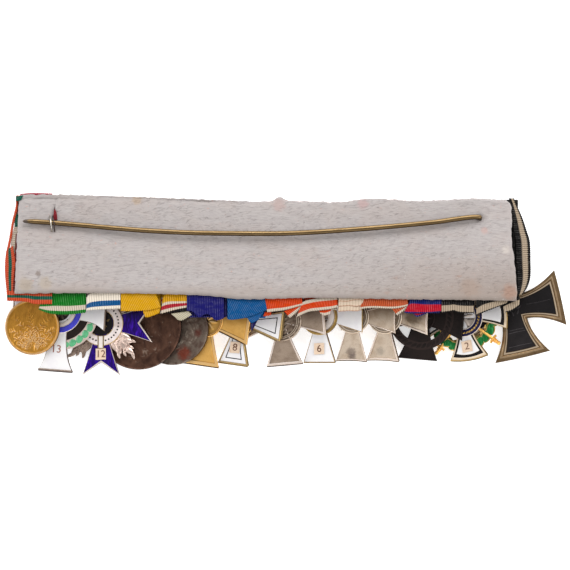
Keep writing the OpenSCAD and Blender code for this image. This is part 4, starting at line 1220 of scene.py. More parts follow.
# The strips of ribbon that stand out past the bar's ends, by pixel and height over the bar's face: each one's
# look, its outer line and its inner line from the top down, and the distances from the selvedge to both
LEFT_BANDS = [
    ("left_end", [(6.9, 251, 1.1), (5.8, 262, 1.1), (6, 276, 1.1), (7.4, 290, 1.1), (8.4, 300.6, 1.2)],
     [(13.6, 246, 2.2), (16.4, 262, 2.4), (15.6, 276, 2.3), (15, 290, 2.2), (16, 300.6, 2)],
     ((0, 3.6), (0, 3.6))),
    ("left_end", [(17, 200, 2.4), (15.6, 209, 2.0), (12.4, 222, 1.7), (9.8, 238, 1.5), (6.9, 252, 1.4)],
     [(18.2, 200, 2.5), (17.8, 209, 2.3), (14.9, 222, 1.9), (12.3, 238, 1.7), (9.8, 252, 1.6)],
     ((0, 1), (0, 1.1))),
    ("left_cream", [(15.4, 224, 1.1), (12.2, 238, 1.1), (11, 254, 1.1)],
     [(20.4, 222, 1.6), (19.4, 238, 1.6), (18, 256, 1.6)], None),
    ("left_end", [(14.4, 213, 1.4), (14.8, 220, 1.4), (15, 227, 1.4)],
     [(20.6, 212, 1.8), (20.4, 220, 1.8), (18.6, 227, 1.8)], ((1.5, 2.3), (1.5, 2.3))),
    ("left_end", [(16.2, 196.4, 3.2), (16.4, 201.4, 3.2)], [(23.4, 195.6, 4.9), (21.6, 200.4, 4.9)],
     ((1.5, 2.3), (1.5, 2.3))),
    ("crimson_edge", [(20.5, 194.0, 3.0), (30, 193.2, 3.0), (40, 193.2, 3.0), (52.5, 193.6, 3.0)],
     [(20.5, 198, 3.4), (30, 198, 3.4), (40, 198, 3.4), (52.5, 198, 3.4)], None),
    ("left_dark", [(16.4, 234, 2.0), (15.6, 252, 2.2), (14.6, 272, 2.3), (13.8, 291, 2.3)],
     [(20.4, 234, 2.5), (19.4, 252, 2.5), (18.4, 272, 2.5), (17.2, 291, 2.5)], None),
    ("left_dark", [(16.6, 201, 1.8), (16.2, 214, 1.6)], [(21.4, 201, 2.3), (21, 214, 2.2)], None),
]
RIGHT_END = ([(521.6, 294.5, 1.4), (526.5, 287, 1.0), (529.6, 277, .8), (529.9, 260, .8), (529.4, 242, .8),
              (526, 230, 1.0), (522.4, 219, 1.3), (517.6, 208, 1.7), (513.6, 198.4, 2.2)],
             [(516, 294.5, 2.4), (516.5, 287, 2.5), (516.5, 277, 2.6), (515.5, 260, 2.7), (515, 242, 2.8),
              (513.5, 230, 2.9), (512.5, 219, 2.9), (511, 208, 2.9), (508.5, 198.4, 2.9)])


def end_of_bar(form, lines, across, seed):
    """A finely ribbed strip past an end of the bar."""
    band(form, [[BAR.seen(*p) for p in line] for line in lines], 0.85, depth=0.08, across=across,
         scallop=0.06, seed=seed, row_step=0.3)


def make_ribbon(number, hang):
    """A ribbon's front, loop and seen folds: one piece in its own colours, and one for each other colour."""
    node = f"ribbon_{number:02d}"
    slot = look = SLOT_OF[node]
    forms = {look: Form()}
    front_of_ribbon(forms[look], number)
    cloth_loop(forms[look], number, hang)
    for k, (owner, near, far, level, more) in enumerate(STRIPS):
        if owner != number:
            continue
        strip_look = more.get("look", look)
        lines = [[BAR.seen(px, py, level) for px, py in line] for line in (near, far)]
        band(forms.setdefault(strip_look, Form()), lines, RIB_PITCH[strip_look], slant=more.get("slant", 0),
             across=more.get("across"), scallop=0.12, seed=k)
    if number == 1:
        for k, (strip_look, outer, inner, across) in enumerate(LEFT_BANDS):
            end_of_bar(forms.setdefault(strip_look, Form()), (outer, inner), across, 91 + k)
    if number == 14:
        end_of_bar(forms.setdefault("right_end", Form()), RIGHT_END, ((0, 2.4), (0, 2.2)), 120)
    main = make(node + "_cloth", forms.pop(look), BAR.place, LOOKS[look], [node], 50)
    others = [make(f"{node}_{strip_look}", form, BAR.place, LOOKS[strip_look], smooth_deg=50)
              for strip_look, form in forms.items()]


# Shapes of the medals

class Disk:
    """A round outline."""

    def __init__(self, radius, sides=96):
        self.radius, self.top = radius, radius
        self.angle = np.linspace(0, 2 * math.pi, sides, endpoint=False)

    def outline(self, inset=0.0):
        return (self.radius - inset) * np.column_stack([np.cos(self.angle), np.sin(self.angle)])


class Cross:
    """The outline of four flared arms, with sizes in millimetres."""

    STEPS = 12

    def __init__(self, reach, end, neck, bow=0.0, notch=0.0, down=1.0, up=1.0, flare=FLARE, tip_step=1.0,
                 end_step=END_STEP):
        self.reach, self.end, self.neck = reach, end, neck
        self.bow, self.notch, self.down, self.up = bow, notch, down, up
        self.flare, self.tip_step, self.end_step = flare, tip_step, end_step
        self.top = reach * up + bow - notch

    def outline(self, inset=0.0):
        """The closed line this far inside the edge, anticlockwise from the upper arm's right side."""
        neck, end = self.neck - NECK_STEP * inset, self.end - self.end_step * inset
        t = np.linspace(0, 1, self.STEPS, endpoint=False)
        tip = np.linspace(1, -1, self.STEPS + 1)
        side_x = neck + (end - neck) * t ** self.flare
        loop = []
        for k in range(4):
            reach = self.reach * (self.up, 1, self.down, 1)[k] - inset * self.tip_step
            side_y = neck + (reach - neck) * t
            tip_y = reach + self.bow * (1 - tip ** 2) - self.notch * (1 - np.abs(tip))
            x = np.concatenate([side_x, end * tip, -side_x[:0:-1]])
            y = np.concatenate([side_y, tip_y, side_y[:0:-1]])
            c, s = math.cos(k * math.pi / 2), math.sin(k * math.pi / 2)
            loop.append(np.column_stack([x * c - y * s, x * s + y * c]))
        return np.vstack(loop)


def at_height(line, height):
    return np.column_stack([line, np.full(len(line), height)])


def level(shape, inset, height):
    return at_height(shape.outline(inset), height)


def solid(shape, levels):
    """A closed body, alike on both faces. Each level has its inset, height and shade, from edge to middle."""
    back = [level(shape, inset, height) for inset, height, _ in levels]
    shades = [shade for _, _, shade in levels]
    rings = [ring * (1, 1, -1) for ring in back[::-1]] + back
    return Form().skin(rings, relief=np.repeat(shades[::-1] + shades, len(back[0])))


def pillow(shape, outer, low, high):
    """Enamel that fills a face from this far inside its edge."""
    steps = ((outer, low), (outer, high - 0.14), (outer + 0.12, high - 0.04), (outer + 0.45, high))
    return Form().both_faces(Form().skin([level(shape, *step) for step in steps]))


def inlay(shape, outer, inner, low, high):
    """A strip along a face's edge, between two insets."""
    ease = min(0.1, (inner - outer) / 4)
    steps = ((outer, low), (outer, high - ease / 2), (outer + ease, high), (inner - ease, high),
             (inner, high - ease / 2), (inner, low))
    return Form().both_faces(Form().skin([level(shape, *step) for step in steps], loop=True))


def annulus(outer, inner, half):
    """A flat ring about the middle of a medal, with rounded edges."""
    ease = 0.12
    profile = ((outer - ease, half), (outer, half - ease), (outer, ease - half), (outer - ease, -half),
               (inner + ease, -half), (inner, ease - half), (inner, half - ease), (inner + ease, half))
    circle = Disk(1.0).outline()
    rings = [at_height(circle * radius, height) for radius, height in profile]
    # Its relief value gives the metal looks a painted highlight all over
    return Form().skin(rings, loop=True, relief=0.5)


def hoop(form, middle, radius, wire, tall=False):
    """A wire ring about a point: in the plane of the medal, or standing across it where it's tall."""
    angle = np.linspace(0, 2 * math.pi, 40, endpoint=False)
    turn = np.linspace(0, 2 * math.pi, 10, endpoint=False)
    reach = radius + wire * np.cos(turn)[None]
    across = np.broadcast_to(wire * np.sin(turn)[None], (len(angle), len(turn)))
    first, second = reach * np.cos(angle)[:, None], reach * np.sin(angle)[:, None]
    parts = (across, first, second) if tall else (first, second, across)
    return form.skin(np.stack(parts, axis=-1) + middle, loop=True)


def heading(angle):
    """The cosine and the sine of an angle in degrees."""
    return math.cos(math.radians(angle)), math.sin(math.radians(angle))


def leaf(form, root, angle, length, width, thick, bend=0.0, height=0.0, blunt=1.0):
    """A leaf with rounded faces, growing from its root at an angle from +x, pointed unless blunt is low."""
    t = np.linspace(0, 1, 9)
    swell = np.maximum(np.sin(math.pi * t ** 0.85), 0.02) ** blunt
    turn = np.linspace(0, 2 * math.pi, 8, endpoint=False)
    along = np.broadcast_to((t * length)[:, None], (9, 8))
    across = swell[:, None] * np.cos(turn)[None] * width / 2 + (bend * t ** 2 * length)[:, None]
    up = swell[:, None] ** 0.5 * np.sin(turn)[None] * thick / 2 + height
    c, s = heading(angle)
    x, y = root[0] + along * c - across * s, root[1] + along * s + across * c
    return form.skin(np.stack([x, y, up], axis=-1))


def spray(root, angle, length, bend, pairs, leaf_length):
    """Leaves in pairs along a bent stem, each with its root, angle, length and bend."""
    leaves = []
    for k in range(pairs):
        t = (k + 0.4) / pairs
        way = angle + bend * t
        c, s = heading(angle + bend * t / 2)
        x, y = root[0] + length * t * c, root[1] + length * t * s
        for side in (-1, 1):
            leaves.append((x, y, way + side * 34, leaf_length * (1 - 0.35 * t), side * 0.22))
    return leaves


def leaf_height(x, y, leaves, width):
    """From 0 to 1, how high low leaves stand over a face, each with a ridge along its middle."""
    total = np.zeros_like(x)
    for root_x, root_y, angle, length, bend in leaves:
        c, s = heading(angle)
        t = ((x - root_x) * c + (y - root_y) * s) / length
        off = (y - root_y) * c - (x - root_x) * s - bend * length * t * t
        half = width / 2 * np.sin(math.pi * np.clip(t, 0, 1)) ** 0.7 + 1e-6
        total = np.maximum(total, np.clip(1 - np.abs(off) / half, 0, 1) ** 0.6 * (t > 0) * (t < 1))
    return total


def coin(form, profile, pattern=None, depth=0.3, sides=220, step=0.16, contrast=0.9):
    """A closed round plate, alike on both faces. Its profile is radius, height and shade from the edge in."""
    radius, height, shade = np.array(profile[::-1]).T
    radii = np.unique(np.concatenate([radius[radius > 0.1], np.arange(0.12, radius[-1], step)]))[::-1]
    angle = np.linspace(0, 2 * math.pi, sides, endpoint=False)
    x, y = radii[:, None] * np.cos(angle)[None], radii[:, None] * np.sin(angle)[None]
    raised = pattern(x, y) if pattern else np.zeros_like(x)
    z = np.interp(radii, radius, height)[:, None] + depth * raised
    # The raised pattern gets a painted highlight through contrast
    tone = np.interp(radii, radius, shade)[:, None] + raised * contrast
    back = np.stack([x, y, z], axis=-1)
    rings = np.concatenate([back[::-1] * (1, 1, -1), back])
    return form.skin(rings, relief=np.concatenate([tone[::-1], tone]).ravel())


class MedalFrame:
    """Where a medal lies: turned clockwise about its middle, and leaning on the next one."""

    def __init__(self, node, shape, half_t, turn):
        normal = top_normal(node)
        self.lean, self.turn = math.atan2(-normal[0], normal[2]), math.radians(turn)
        self.hang = (math.sin(self.turn), math.cos(self.turn))
        self.middle = np.zeros(3)
        faces = np.vstack([level(shape, 0, half_t), level(shape, 0, -half_t)])
        self.middle = np.array(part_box(node)[0]) / MM - self.place(faces).min(axis=0)

    def place(self, points):
        x, y, z = np.asarray(points, float).T
        c, s = math.cos(self.turn), math.sin(self.turn)
        x, y = x * c + y * s, y * c - x * s
        c, s = math.cos(self.lean), math.sin(self.lean)
        return np.column_stack([x * c - z * s, y, x * s + z * c]) + self.middle


def ring_tree():
    """Sets a thing round a circle, each one turned to its place."""
    w, (thing, count, radius, turn, finish) = new_tree("ring_of_things", {
        "Thing": "Object", "Count": "Int", "Radius": "Float", "Turn": "Float", "Finish": "Material"}, "Ring")
    circle = w.node("GeometryNodeMeshCircle", sockets={"Vertices": count, "Radius": radius})
    position = w.node("GeometryNodeInputPosition")
    x, y = (w.node("ShaderNodeSeparateXYZ", sockets={0: position}, out=k) for k in range(2))
    spin = w.node("ShaderNodeCombineXYZ", sockets={"Z": y.maths("ARCTAN2", x) - math.pi / 2 + turn})
    shape = w.node("GeometryNodeObjectInfo", sockets={"Object": thing}, out=4)
    spun = w.node("FunctionNodeEulerToRotation", sockets={0: spin})
    placed = w.node("GeometryNodeInstanceOnPoints", sockets={
        "Points": circle, "Instance": shape, "Rotation": spun})
    return end_tree(w, placed, finish)


RING_TREE = ring_tree()


# Medals

HALF_ARM = ARM_T / 2
HALF_DISK = DISK_T / 2
FIELD = HALF_ARM - FIELD_DEPTH
# Each cross as shares of the usual reach: reach, half width of an arm's end, half width of its neck, radius
# of the disk, bow and notch of the ends, and the lower arm's length; and its turn in degrees, clockwise
CROSSES = {
    2: (1.037, .406, .246, .535, 0, 0, 1.35, 4.2),
    3: (1.144, .428, .139, .524, 0, .294, 1, 0),
    6: (1, .4385, .18, .374, 0, 0, 1, 8),
    7: (1.01, .38, .17, .374, 0, 0, 1, 9),
    8: (1.02, .428, .2, .48, 0, 0, 1, -5),
    9: (1, .37, .16, .43, 0, 0, 1, 2),
    10: (1.01, .364, .176, .39, -.02, 0, 1, 2.5),
    11: (1.01, .364, .176, .4, -.02, 0, 1, 3.5),
    12: (.99, .46, .2, .33, 0, 0, 1, 5),
    13: (.98, .4385, .166, .47, .054, 0, 1, -9),
    14: (1.1444, .658, .3204, .2, .0137, 0, 1, -12.7),
}
# The radii of the round medals, and the length of the belted cross's stem, in millimetres
ROUNDS = {1: 11.9, 4: 18.7, 5: 15.7}
STEM = 1.6


def shape_of(number):
    """A medal's outline, half its thickness and its turn, as the CAD has them."""
    if number in ROUNDS:
        return Disk(ROUNDS[number]), HALF_DISK, 0.0
    reach, end, neck, _, bow, notch, down, turn = CROSSES[number]
    sizes = (CROSS_REACH * share for share in (reach, end, neck, bow, notch))
    return Cross(*sizes, down), HALF_ARM, turn


def node_name(number):
    return f"medal_{number:02d}"


SHAPES = {number: shape_of(number)[0] for number in range(1, 15)}
FRAMES = {number: MedalFrame(node_name(number), *shape_of(number)) for number in range(1, 15)}
# What the photograph shows of a cross beyond its solid, in millimetres unless said: its turn in degrees, how
# far its middle lies further up its hang, what its side arms and its lower arm gain, its end's half width and
# its neck as shares of the usual reach, and the flare of its sides; then, where they aren't the usual ones,
# how much wider its edge is at the ends and at the corners
SEEN = {
    2: (4.2, 0, 1.0, 0, .406, .209, 3.8, 1.9), 3: (0, 0, 1.0, 1.0, .44, .139, 1.25, 1.9),
    6: (8, .6, 0, .4, .42, .15, 1.2), 7: (8, 1.1, 0, .1, .352, .07, 1.05), 8: (-5, .3, 0, 0, .425, .09, 1.15),
    9: (0, .9, 0, 1.1, .372, .075, 1.05), 10: (1.6, .2, 0, .2, .362, .1, 1.1),
    11: (3, .2, 0, .1, .374, .1, 1.1), 12: (5, 0, 0, -.2, .46, .2, 1.35),
    13: (-9, 0, 0, -.4, .44, .15, 1.7), 14: (-12.7, 0, 0, 0, .652, .3, 1.8, 1.1, 1.8)}
# The photograph's pixel at the middle of three crosses that slipped sideways on their rings
SEEN_MIDDLES = {7: (239.2, 320.2), 8: (281.1, 320.5), 9: (319.5, 316.4)}


def as_seen(number):
    """Moves a cross's frame and gives its shape the arms of the photograph, with its eye where it was."""
    turn, rise, wider, longer, end, neck, flare, *steps = SEEN[number]
    reach, _, _, _, bow, notch, down, _ = CROSSES[number]
    old = FRAMES[number]
    drop = SHAPES[number].top + EYE_R
    ring = old.middle + drop * np.array([*old.hang, 0])
    old.turn = math.radians(turn)
    old.hang = (math.sin(old.turn), math.cos(old.turn))
    old.middle = ring - (drop - rise) * np.array([*old.hang, 0])
    if number in SEEN_MIDDLES:
        x, y, _ = BAR.at(*SEEN_MIDDLES[number], 0)
        old.middle = np.array([x, y, old.middle[2]])
        rise = drop - math.hypot(ring[0] - x, ring[1] - y)
    length = CROSS_REACH * reach
    side = length + wider
    return Cross(side, CROSS_REACH * end, CROSS_REACH * neck, CROSS_REACH * bow, CROSS_REACH * notch,
                 (length * down + longer) / side, (length - rise) / side, flare, *steps)


SHAPES.update({number: as_seen(number) for number in SEEN})
# The parts of a cross's outline, in steps along it, where its side wall shows
LOW_END, LOW_RIGHT, RIGHT_LOW, RIGHT_END_LINE = (7, 8), (8, 9), (9, 10), (10, 11)


def shaded_side_wall(number, look, radius, *runs):
    """The side wall where the photograph shows it, as dark rods of painted shade along the outline."""
    form = Form()
    line = SHAPES[number].outline(0.05)
    steps = Cross.STEPS
    for low, high in runs:
        run = line[low * steps + (low > 8):high * steps + (high < 9)]
        tube(form, at_height(run, -0.12), radius, 8)
    part_of(number, f"{look}_{runs[0][0]}", form, look)


def part_of(number, name, form, look, replaces=False, smooth_deg=32):
    """One piece of a medal, in its own frame."""
    node = node_name(number)
    return make(f"{node}_{name}", form, FRAMES[number].place, LOOKS[look],
                [node] if replaces else (), smooth_deg)


def ring_of(number, name, thing, count, radius, turn, look):
    """A ring of one small form about a medal's middle, as a piece."""
    node = node_name(number)
    model = helper_object("thing", loose_mesh("thing", thing))
    mesh = grown(f"{node}_{name}", bpy.data.meshes.new("circle"), RING_TREE, {
        "Thing": model, "Count": count, "Radius": radius * MM, "Turn": math.radians(turn),
        "Finish": LOOKS[look]})
    bpy.data.objects.remove(model)
    points = np.zeros(len(mesh.vertices) * 3)
    mesh.vertices.foreach_get("co", points)
    placed = FRAMES[number].place(points.reshape(-1, 3) / MM) * MM
    mesh.vertices.foreach_set("co", placed.ravel())
    mesh.attributes.new("relief", "FLOAT", "POINT")
    mesh.shade_smooth()
    mesh.set_sharp_from_angle(angle=math.radians(40))
    return settle(f"{node}_{name}", mesh)


def eye(form, number):
    """The loop on top of a medal that its ring goes through."""
    top = SHAPES[number].top + (STEM if number == 3 else 0)
    return hoop(form, (0, top + EYE_R + EYE_D / 8, 0), EYE_R, EYE_D / 2, tall=True)


def cross_levels(rim):
    """A rounded edge in painted shade, a rim this wide with a painted highlight, and a sunk field with painted
    shade at its foot.
    """
    return [(0, HALF_ARM - 0.28, -.7), (0.06, HALF_ARM - 0.1, -.5), (0.2, HALF_ARM, .5),
            (rim - 0.08, HALF_ARM, .5), (rim + 0.06, HALF_ARM - FIELD_DEPTH * 0.8, -.75),
            (rim + 0.3, FIELD, -.15), (rim + 0.8, FIELD, 0)]


# The height of a disk's field over the middle plane
DISK_FIELD = 0.78


def disk_profile(radius, rim, rings=()):
    """A disk's face: its rounded edge, its rim, raised rings at other radii and its field, with painted
    highlight and shade.
    """
    inner = radius - rim
    rows = [(radius, 0.6, -.2), (radius - 0.06, 0.88, 0), (radius - 0.22, HALF_DISK, .5),
            (inner, HALF_DISK, .5), (inner - 0.12, DISK_FIELD + 0.02, -.8), (inner - 0.4, DISK_FIELD, -.1)]
    for at in rings:
        rows += [(at + 0.26, DISK_FIELD, -.6), (at + 0.12, HALF_DISK - 0.02, .7),
                 (at - 0.12, HALF_DISK - 0.02, .7), (at - 0.26, DISK_FIELD, -.6)]
    return rows + [(0, DISK_FIELD, 0)]


def disk_radius(number):
    return CROSSES[number][3] * CROSS_REACH


def rosette(count, length, width):
    """A pattern of petals round the middle of a disk."""
    leaves = [(0.5 * math.cos(a), 0.5 * math.sin(a), math.degrees(a), length, 0.0)
              for a in np.linspace(0, 2 * math.pi, count, endpoint=False)]
    return lambda x, y: leaf_height(x, y, leaves, width)


def metal_cross(number, look, rim, rings=(), disk_rim=0.5, pattern=None):
    """A struck cross: its arms, its disk and its eye."""
    form = solid(SHAPES[number], cross_levels(rim))
    coin(form, disk_profile(disk_radius(number), disk_rim, rings=rings), pattern, 0.2, 110, 0.3)
    part_of(number, "cross", eye(form, number), look, replaces=True)


def enamel_cross(number, metal, rim, look, rise=0.03):
    """A cross of enamel in a metal edge, with its eye."""
    shape = SHAPES[number]
    part_of(number, "edge", eye(solid(shape, cross_levels(rim)), number), metal, replaces=True)
    part_of(number, "enamel", pillow(shape, rim + 0.02, FIELD - 0.05, HALF_ARM + rise), look)


# The laurel's stems: the angle, length and bend of each
LAUREL_STEMS = [(92, 14.5, 6), (116, 13.5, 24), (66, 13.5, -20), (140, 12.5, 34), (42, 12.5, -30),
                (162, 11, 40), (20, 12, -26), (184, 9.5, 44), (0, 10.5, -30), (204, 7.5, 40), (-22, 8, -40)]
LAUREL_ROOT = (0.3, -6.4)


def laurel(x, y):
    """Sprays of curling leaves that fan out over the lower two thirds of the first medal."""
    draw = np.random.default_rng(12)
    leaves = []
    for angle, length, bend in LAUREL_STEMS:
        for x0, y0, way, size, curl in spray(LAUREL_ROOT, angle, length, bend, 11, 2.5):
            jitter = draw.normal(0, 1, 4)
            leaves.append((x0 + 0.22 * jitter[0], y0 + 0.22 * jitter[1], way + 16 * jitter[2],
                           size * (1 + 0.2 * jitter[3]), curl * 1.6))
    raised = leaf_height(x, y, leaves, 0.52) * np.clip((10.6 - np.hypot(x, y)) / 0.8, 0, 1)
    lower = 0.22 + 0.78 / (1 + np.exp((y - 2.5) / 1.4))
    return raised * lower + 0.12 * wobble(x, y, 4, 31) + 0.08 * wobble(x, y, 1.2, 33)


# Where the two large medals are worn: the place, spread, number and direction of the strokes left there
DARK_STROKES = [(-4, -12, 3.4, 30, 15), (5, -4, 3, 18, 20), (7, -11, 3, 22, 150), (0, 2, 6, 14, 90),
                (-6, 8, 4, 14, 120)]
PATINA_STROKES = [(9, 3, 2.6, 22, 70), (9, -4, 2.4, 20, 100), (5, -9, 2.4, 20, 20), (0, 4, 5, 20, 60)]


def worn_relief(radius, seed, places):
    """Low worn strokes in a few places of a large medal."""
    draw = np.random.default_rng(seed)
    leaves = []
    for at_x, at_y, spread, count, way in places:
        for _ in range(count):
            x, y = draw.normal((at_x, at_y), spread)
            leaves.append((x, y, draw.normal(way, 32), draw.uniform(1.0, 2.8), draw.uniform(-0.5, 0.5)))

    def pattern(x, y):
        raised = leaf_height(x, y, leaves, 0.9) * np.clip((radius - 2.2 - np.hypot(x, y)) / 0.8, 0, 1)
        return 0.6 * raised + 0.25 * wobble(x, y, 6, seed) + 0.2 * wobble(x, y, 2, seed + 1)
    return pattern


def make_rounds():
    """The three round medals: rim, its shade, relief, the relief's depth, and the points round and along."""
    rows = ((1, "gold", 0.85, 0.8, laurel, 0.26, 220, 0.165),
            (4, "dark_bronze", 0.5, 0.25, worn_relief(ROUNDS[4], 5, DARK_STROKES), 0.2, 180, 0.26),
            (5, "patina", 0.45, 0.25, worn_relief(ROUNDS[5], 9, PATINA_STROKES), 0.22, 180, 0.26))
    for number, look, rim, crest, pattern, depth, sides, step in rows:
        radius = ROUNDS[number]
        inner = radius - rim
        profile = [(radius, 0.55, -.8), (radius - 0.08, 0.86, -.3), (radius - 0.3, HALF_DISK, crest),
                   (inner, HALF_DISK - 0.04, crest / 2), (inner - 0.25, 0.8, -.3),
                   (inner - 0.8, DISK_FIELD, 0), (0, DISK_FIELD, 0)]
        form = coin(Form(), profile, pattern, depth, sides, step, 0.75)
        part_of(number, "coin", eye(form, number), look, replaces=True, smooth_deg=40)


def make_blue_ringed():
    """The white cross with a long lower arm, a blue ring and a wreath of green leaves."""
    enamel_cross(2, "dull_silver", 0.36, "white")
    radius = disk_radius(2)
    disk = Disk(radius)
    levels = [(0, 0.6, 0), (0.1, 0.9, .3), (0.3, HALF_DISK, .5), (0.35, 0.8, -.6), (2.6, 0.8, -.6),
              (2.7, HALF_DISK, .5), (2.8, HALF_DISK, .5), (2.9, 0.85, -.4), (4.1, 0.85, -.2),
              (4.2, 0.95, .4), (4.4, 0.6, -.8), (5, 0.6, -.6)]
    part_of(2, "disk", solid(disk, levels), "bright_silver")
    part_of(2, "blue_ring", inlay(disk, 0.3, 2.6, 0.7, HALF_DISK + 0.02), "cobalt")
    part_of(2, "white_ring", inlay(disk, 2.9, 4.4, 0.7, HALF_DISK), "warm_white")
    part_of(2, "core", pillow(Disk(4.7), 0, 0.5, 0.86), "dark_ground")
    petals = Form()
    for k in range(10):
        root = (0.6 * math.cos(k * 0.628), 0.6 * math.sin(k * 0.628))
        leaf(petals, root, 36 * k, 4.0, 1.5, 0.35, 0.2, 0.88)
    part_of(2, "petals", Form().both_faces(petals), "patina")
    # A dark plate of painted shade between the blue ring and the wreath, over what lies beneath
    part_of(2, "dark_ground", annulus(13.4, 9.8, 0.34), "dark_ground")
    part_of(2, "wreath_ground", annulus(17.2, 13.2, 0.4), "scroll")
    over = leaf(Form(), (-1.8, 0), 0, 3.6, 3.7, 0.9, height=0.16, blunt=0.28)
    ring_of(2, "leaves", over, 28, 15.2, 22, "mint")


def make_belted():
    """The violet cross with eight points, a belt round its middle and scrolls between its arms."""
    enamel_cross(3, "bright_silver", 0.5, "violet", 0.08)
    radius = disk_radius(3)
    belt = Disk(radius)
    levels = [(0, 0.55, 0), (0.1, 0.9, .3), (0.25, HALF_DISK, .6), (0.4, 0.8, -.5), (3.9, 0.8, -.3),
              (4.0, HALF_DISK, .6), (4.2, HALF_DISK, .5), (4.4, 0.5, -.8), (4.9, 0.45, -.6)]
    part_of(3, "belt_edge", solid(belt, levels), "gilt_edge")
    part_of(3, "belt", inlay(belt, 0.36, 3.95, 0.7, HALF_DISK + 0.03), "belt")
    part_of(3, "core", pillow(Disk(radius - 4.5), 0, 0.3, 0.87), "black_line")
    gold = Form()
    for k in range(18):
        root = (1.3 * (k % 3) * math.cos(2.4 * k), 1.3 * (k % 3) * math.sin(2.4 * k))
        leaf(gold, root, 47 * k, 1.6 + 0.5 * (k % 4), 1.0, 0.3, 0.3 * (-1) ** k, 0.9)
    part_of(3, "core_leaves", Form().both_faces(gold), "brown_edge")
    stud = solid(Disk(0.38, 12), [(0, 0.02, 0), (0.05, 0.12, 0), (0.2, 0.16, 0)])
    lifted = Form().add(np.vstack(stud.points) + (0, 0, HALF_DISK + 0.02), stud.faces)
    ring_of(3, "belt_studs", lifted, 34, radius - 2.1, 0, "iron")
    strap = Form()
    low, high, half = -radius - 0.9, -radius + 4.2, 1.0
    corners = np.array([(half, low), (half, high), (-half, high), (-half, low)])
    strap.skin([at_height(corners, z) for z in (0.9, HALF_DISK + 0.2, HALF_DISK + 0.24)])
    part_of(3, "strap", strap, "warm_white")
    bars = Form()
    over = HALF_DISK + 0.16
    for x in (-1.1, 1.1):
        tube(bars, [(x, low - 0.1, over), (x, high + 0.1, over)], 0.26, 8)
    for y in (low - 0.1, high + 0.1):
        tube(bars, [(-1.2, y, over), (1.2, y, over)], 0.17, 8)
    part_of(3, "buckle", bars, "brown_edge")
    # Each quarter's scrolls get a lighter or darker silver as painted light and shade: lightest at the lower
    # right, dull on the left
    for quarter, look in enumerate(("silver", "dull_silver", "dull_silver", "scroll")):
        part_of(3, f"scrolls_{quarter + 1}", scrolls(45 + 90 * quarter, quarter), look, smooth_deg=60)
    stem = tube(Form(), [(0, SHAPES[3].top - 1, 0), (0, SHAPES[3].top + STEM + 0.2, 0)], 0.6, 10)
    part_of(3, "stem", stem, "bright_silver")


def scrolls(angle, seed):
    """A cluster of blunt leaves that fills the gap between two arms, with small curls on it."""
    draw = np.random.default_rng(seed + 3)
    form = Form()

    def at(radius, fan):
        c, s = heading(angle + fan)
        return radius * c, radius * s
    for fan, low, size, wide in ((-15, 8.4, 6.2, 3.0), (15, 8.4, 6.2, 3.0), (-7.5, 8.6, 7.0, 3.2),
                                 (7.5, 8.6, 7.0, 3.2), (0, 9.0, 8.6, 3.4)):
        leaf(form, at(low, fan), angle + fan, size, wide, 1.5, 0.05 * draw.normal(), 0, 0.5)
    leaf(form, at(14.6, 0.5), angle + 2, 4.8, 2.5, 1.3, 0.1, 0.1, 0.6)
    leaf(form, at(17.6, 2.5), angle - 14, 3.9, 1.6, 1.0, -0.15, 0.1, 0.7)
    for side in (-1, 1):
        leaf(form, at(12.0, side * 11), angle + side * 20, 4.2, 2.4, 1.3, side * 0.1, 0.1, 0.6)
        leaf(form, at(14.4, side * 14), angle + side * 42, 2.9, 1.5, 1.0, -side * 0.2, 0.1, 0.7)
        leaf(form, at(15.4, side * 5), angle + side * 40, 2.6, 1.4, 1.0, -side * 0.3, 0.1, 0.7)
        for radius, fan, size in ((10.6, 12, 0.8), (13.0, 8, 0.95), (15.6, 2.6, 0.7), (11.4, 3.5, 0.75)):
            x, y = at(radius, side * fan)
            hoop(form, (x, y, 0.62), size, 0.3)
    return form


def make_lined():
    """The white cross with a fine black line round each field."""
    enamel_cross(7, "gilt_edge", 0.75, "white", 0.1)
    part_of(7, "line", inlay(SHAPES[7], 2.25, 2.66, FIELD, HALF_ARM + 0.16), "black_line")
    disk = coin(Form(), disk_profile(disk_radius(7), 0.6, rings=(5.4,)), rosette(8, 4, 1.6), 0.2, 96, 0.25)
    part_of(7, "disk", disk, "gilt_edge")


def make_white():
    """The white cross with a thin gilt edge and a white middle in a gilt ring."""
    enamel_cross(9, "gilt_edge", 0.3, "white", 0.08)
    radius = disk_radius(9)
    disk = coin(Form(), disk_profile(radius, 0.5, rings=(radius - 1.3,)), rosette(8, 4.4, 1.8), 0.2, 96, 0.25)
    part_of(9, "disk", disk, "dull_silver")
    part_of(9, "ring", inlay(Disk(radius), 0.08, 1.2, 0.7, HALF_DISK + 0.03), "gilt_edge")
    part_of(9, "middle", inlay(Disk(radius - 1.6), 0, 2.6, 0.7, HALF_DISK), "warm_white")


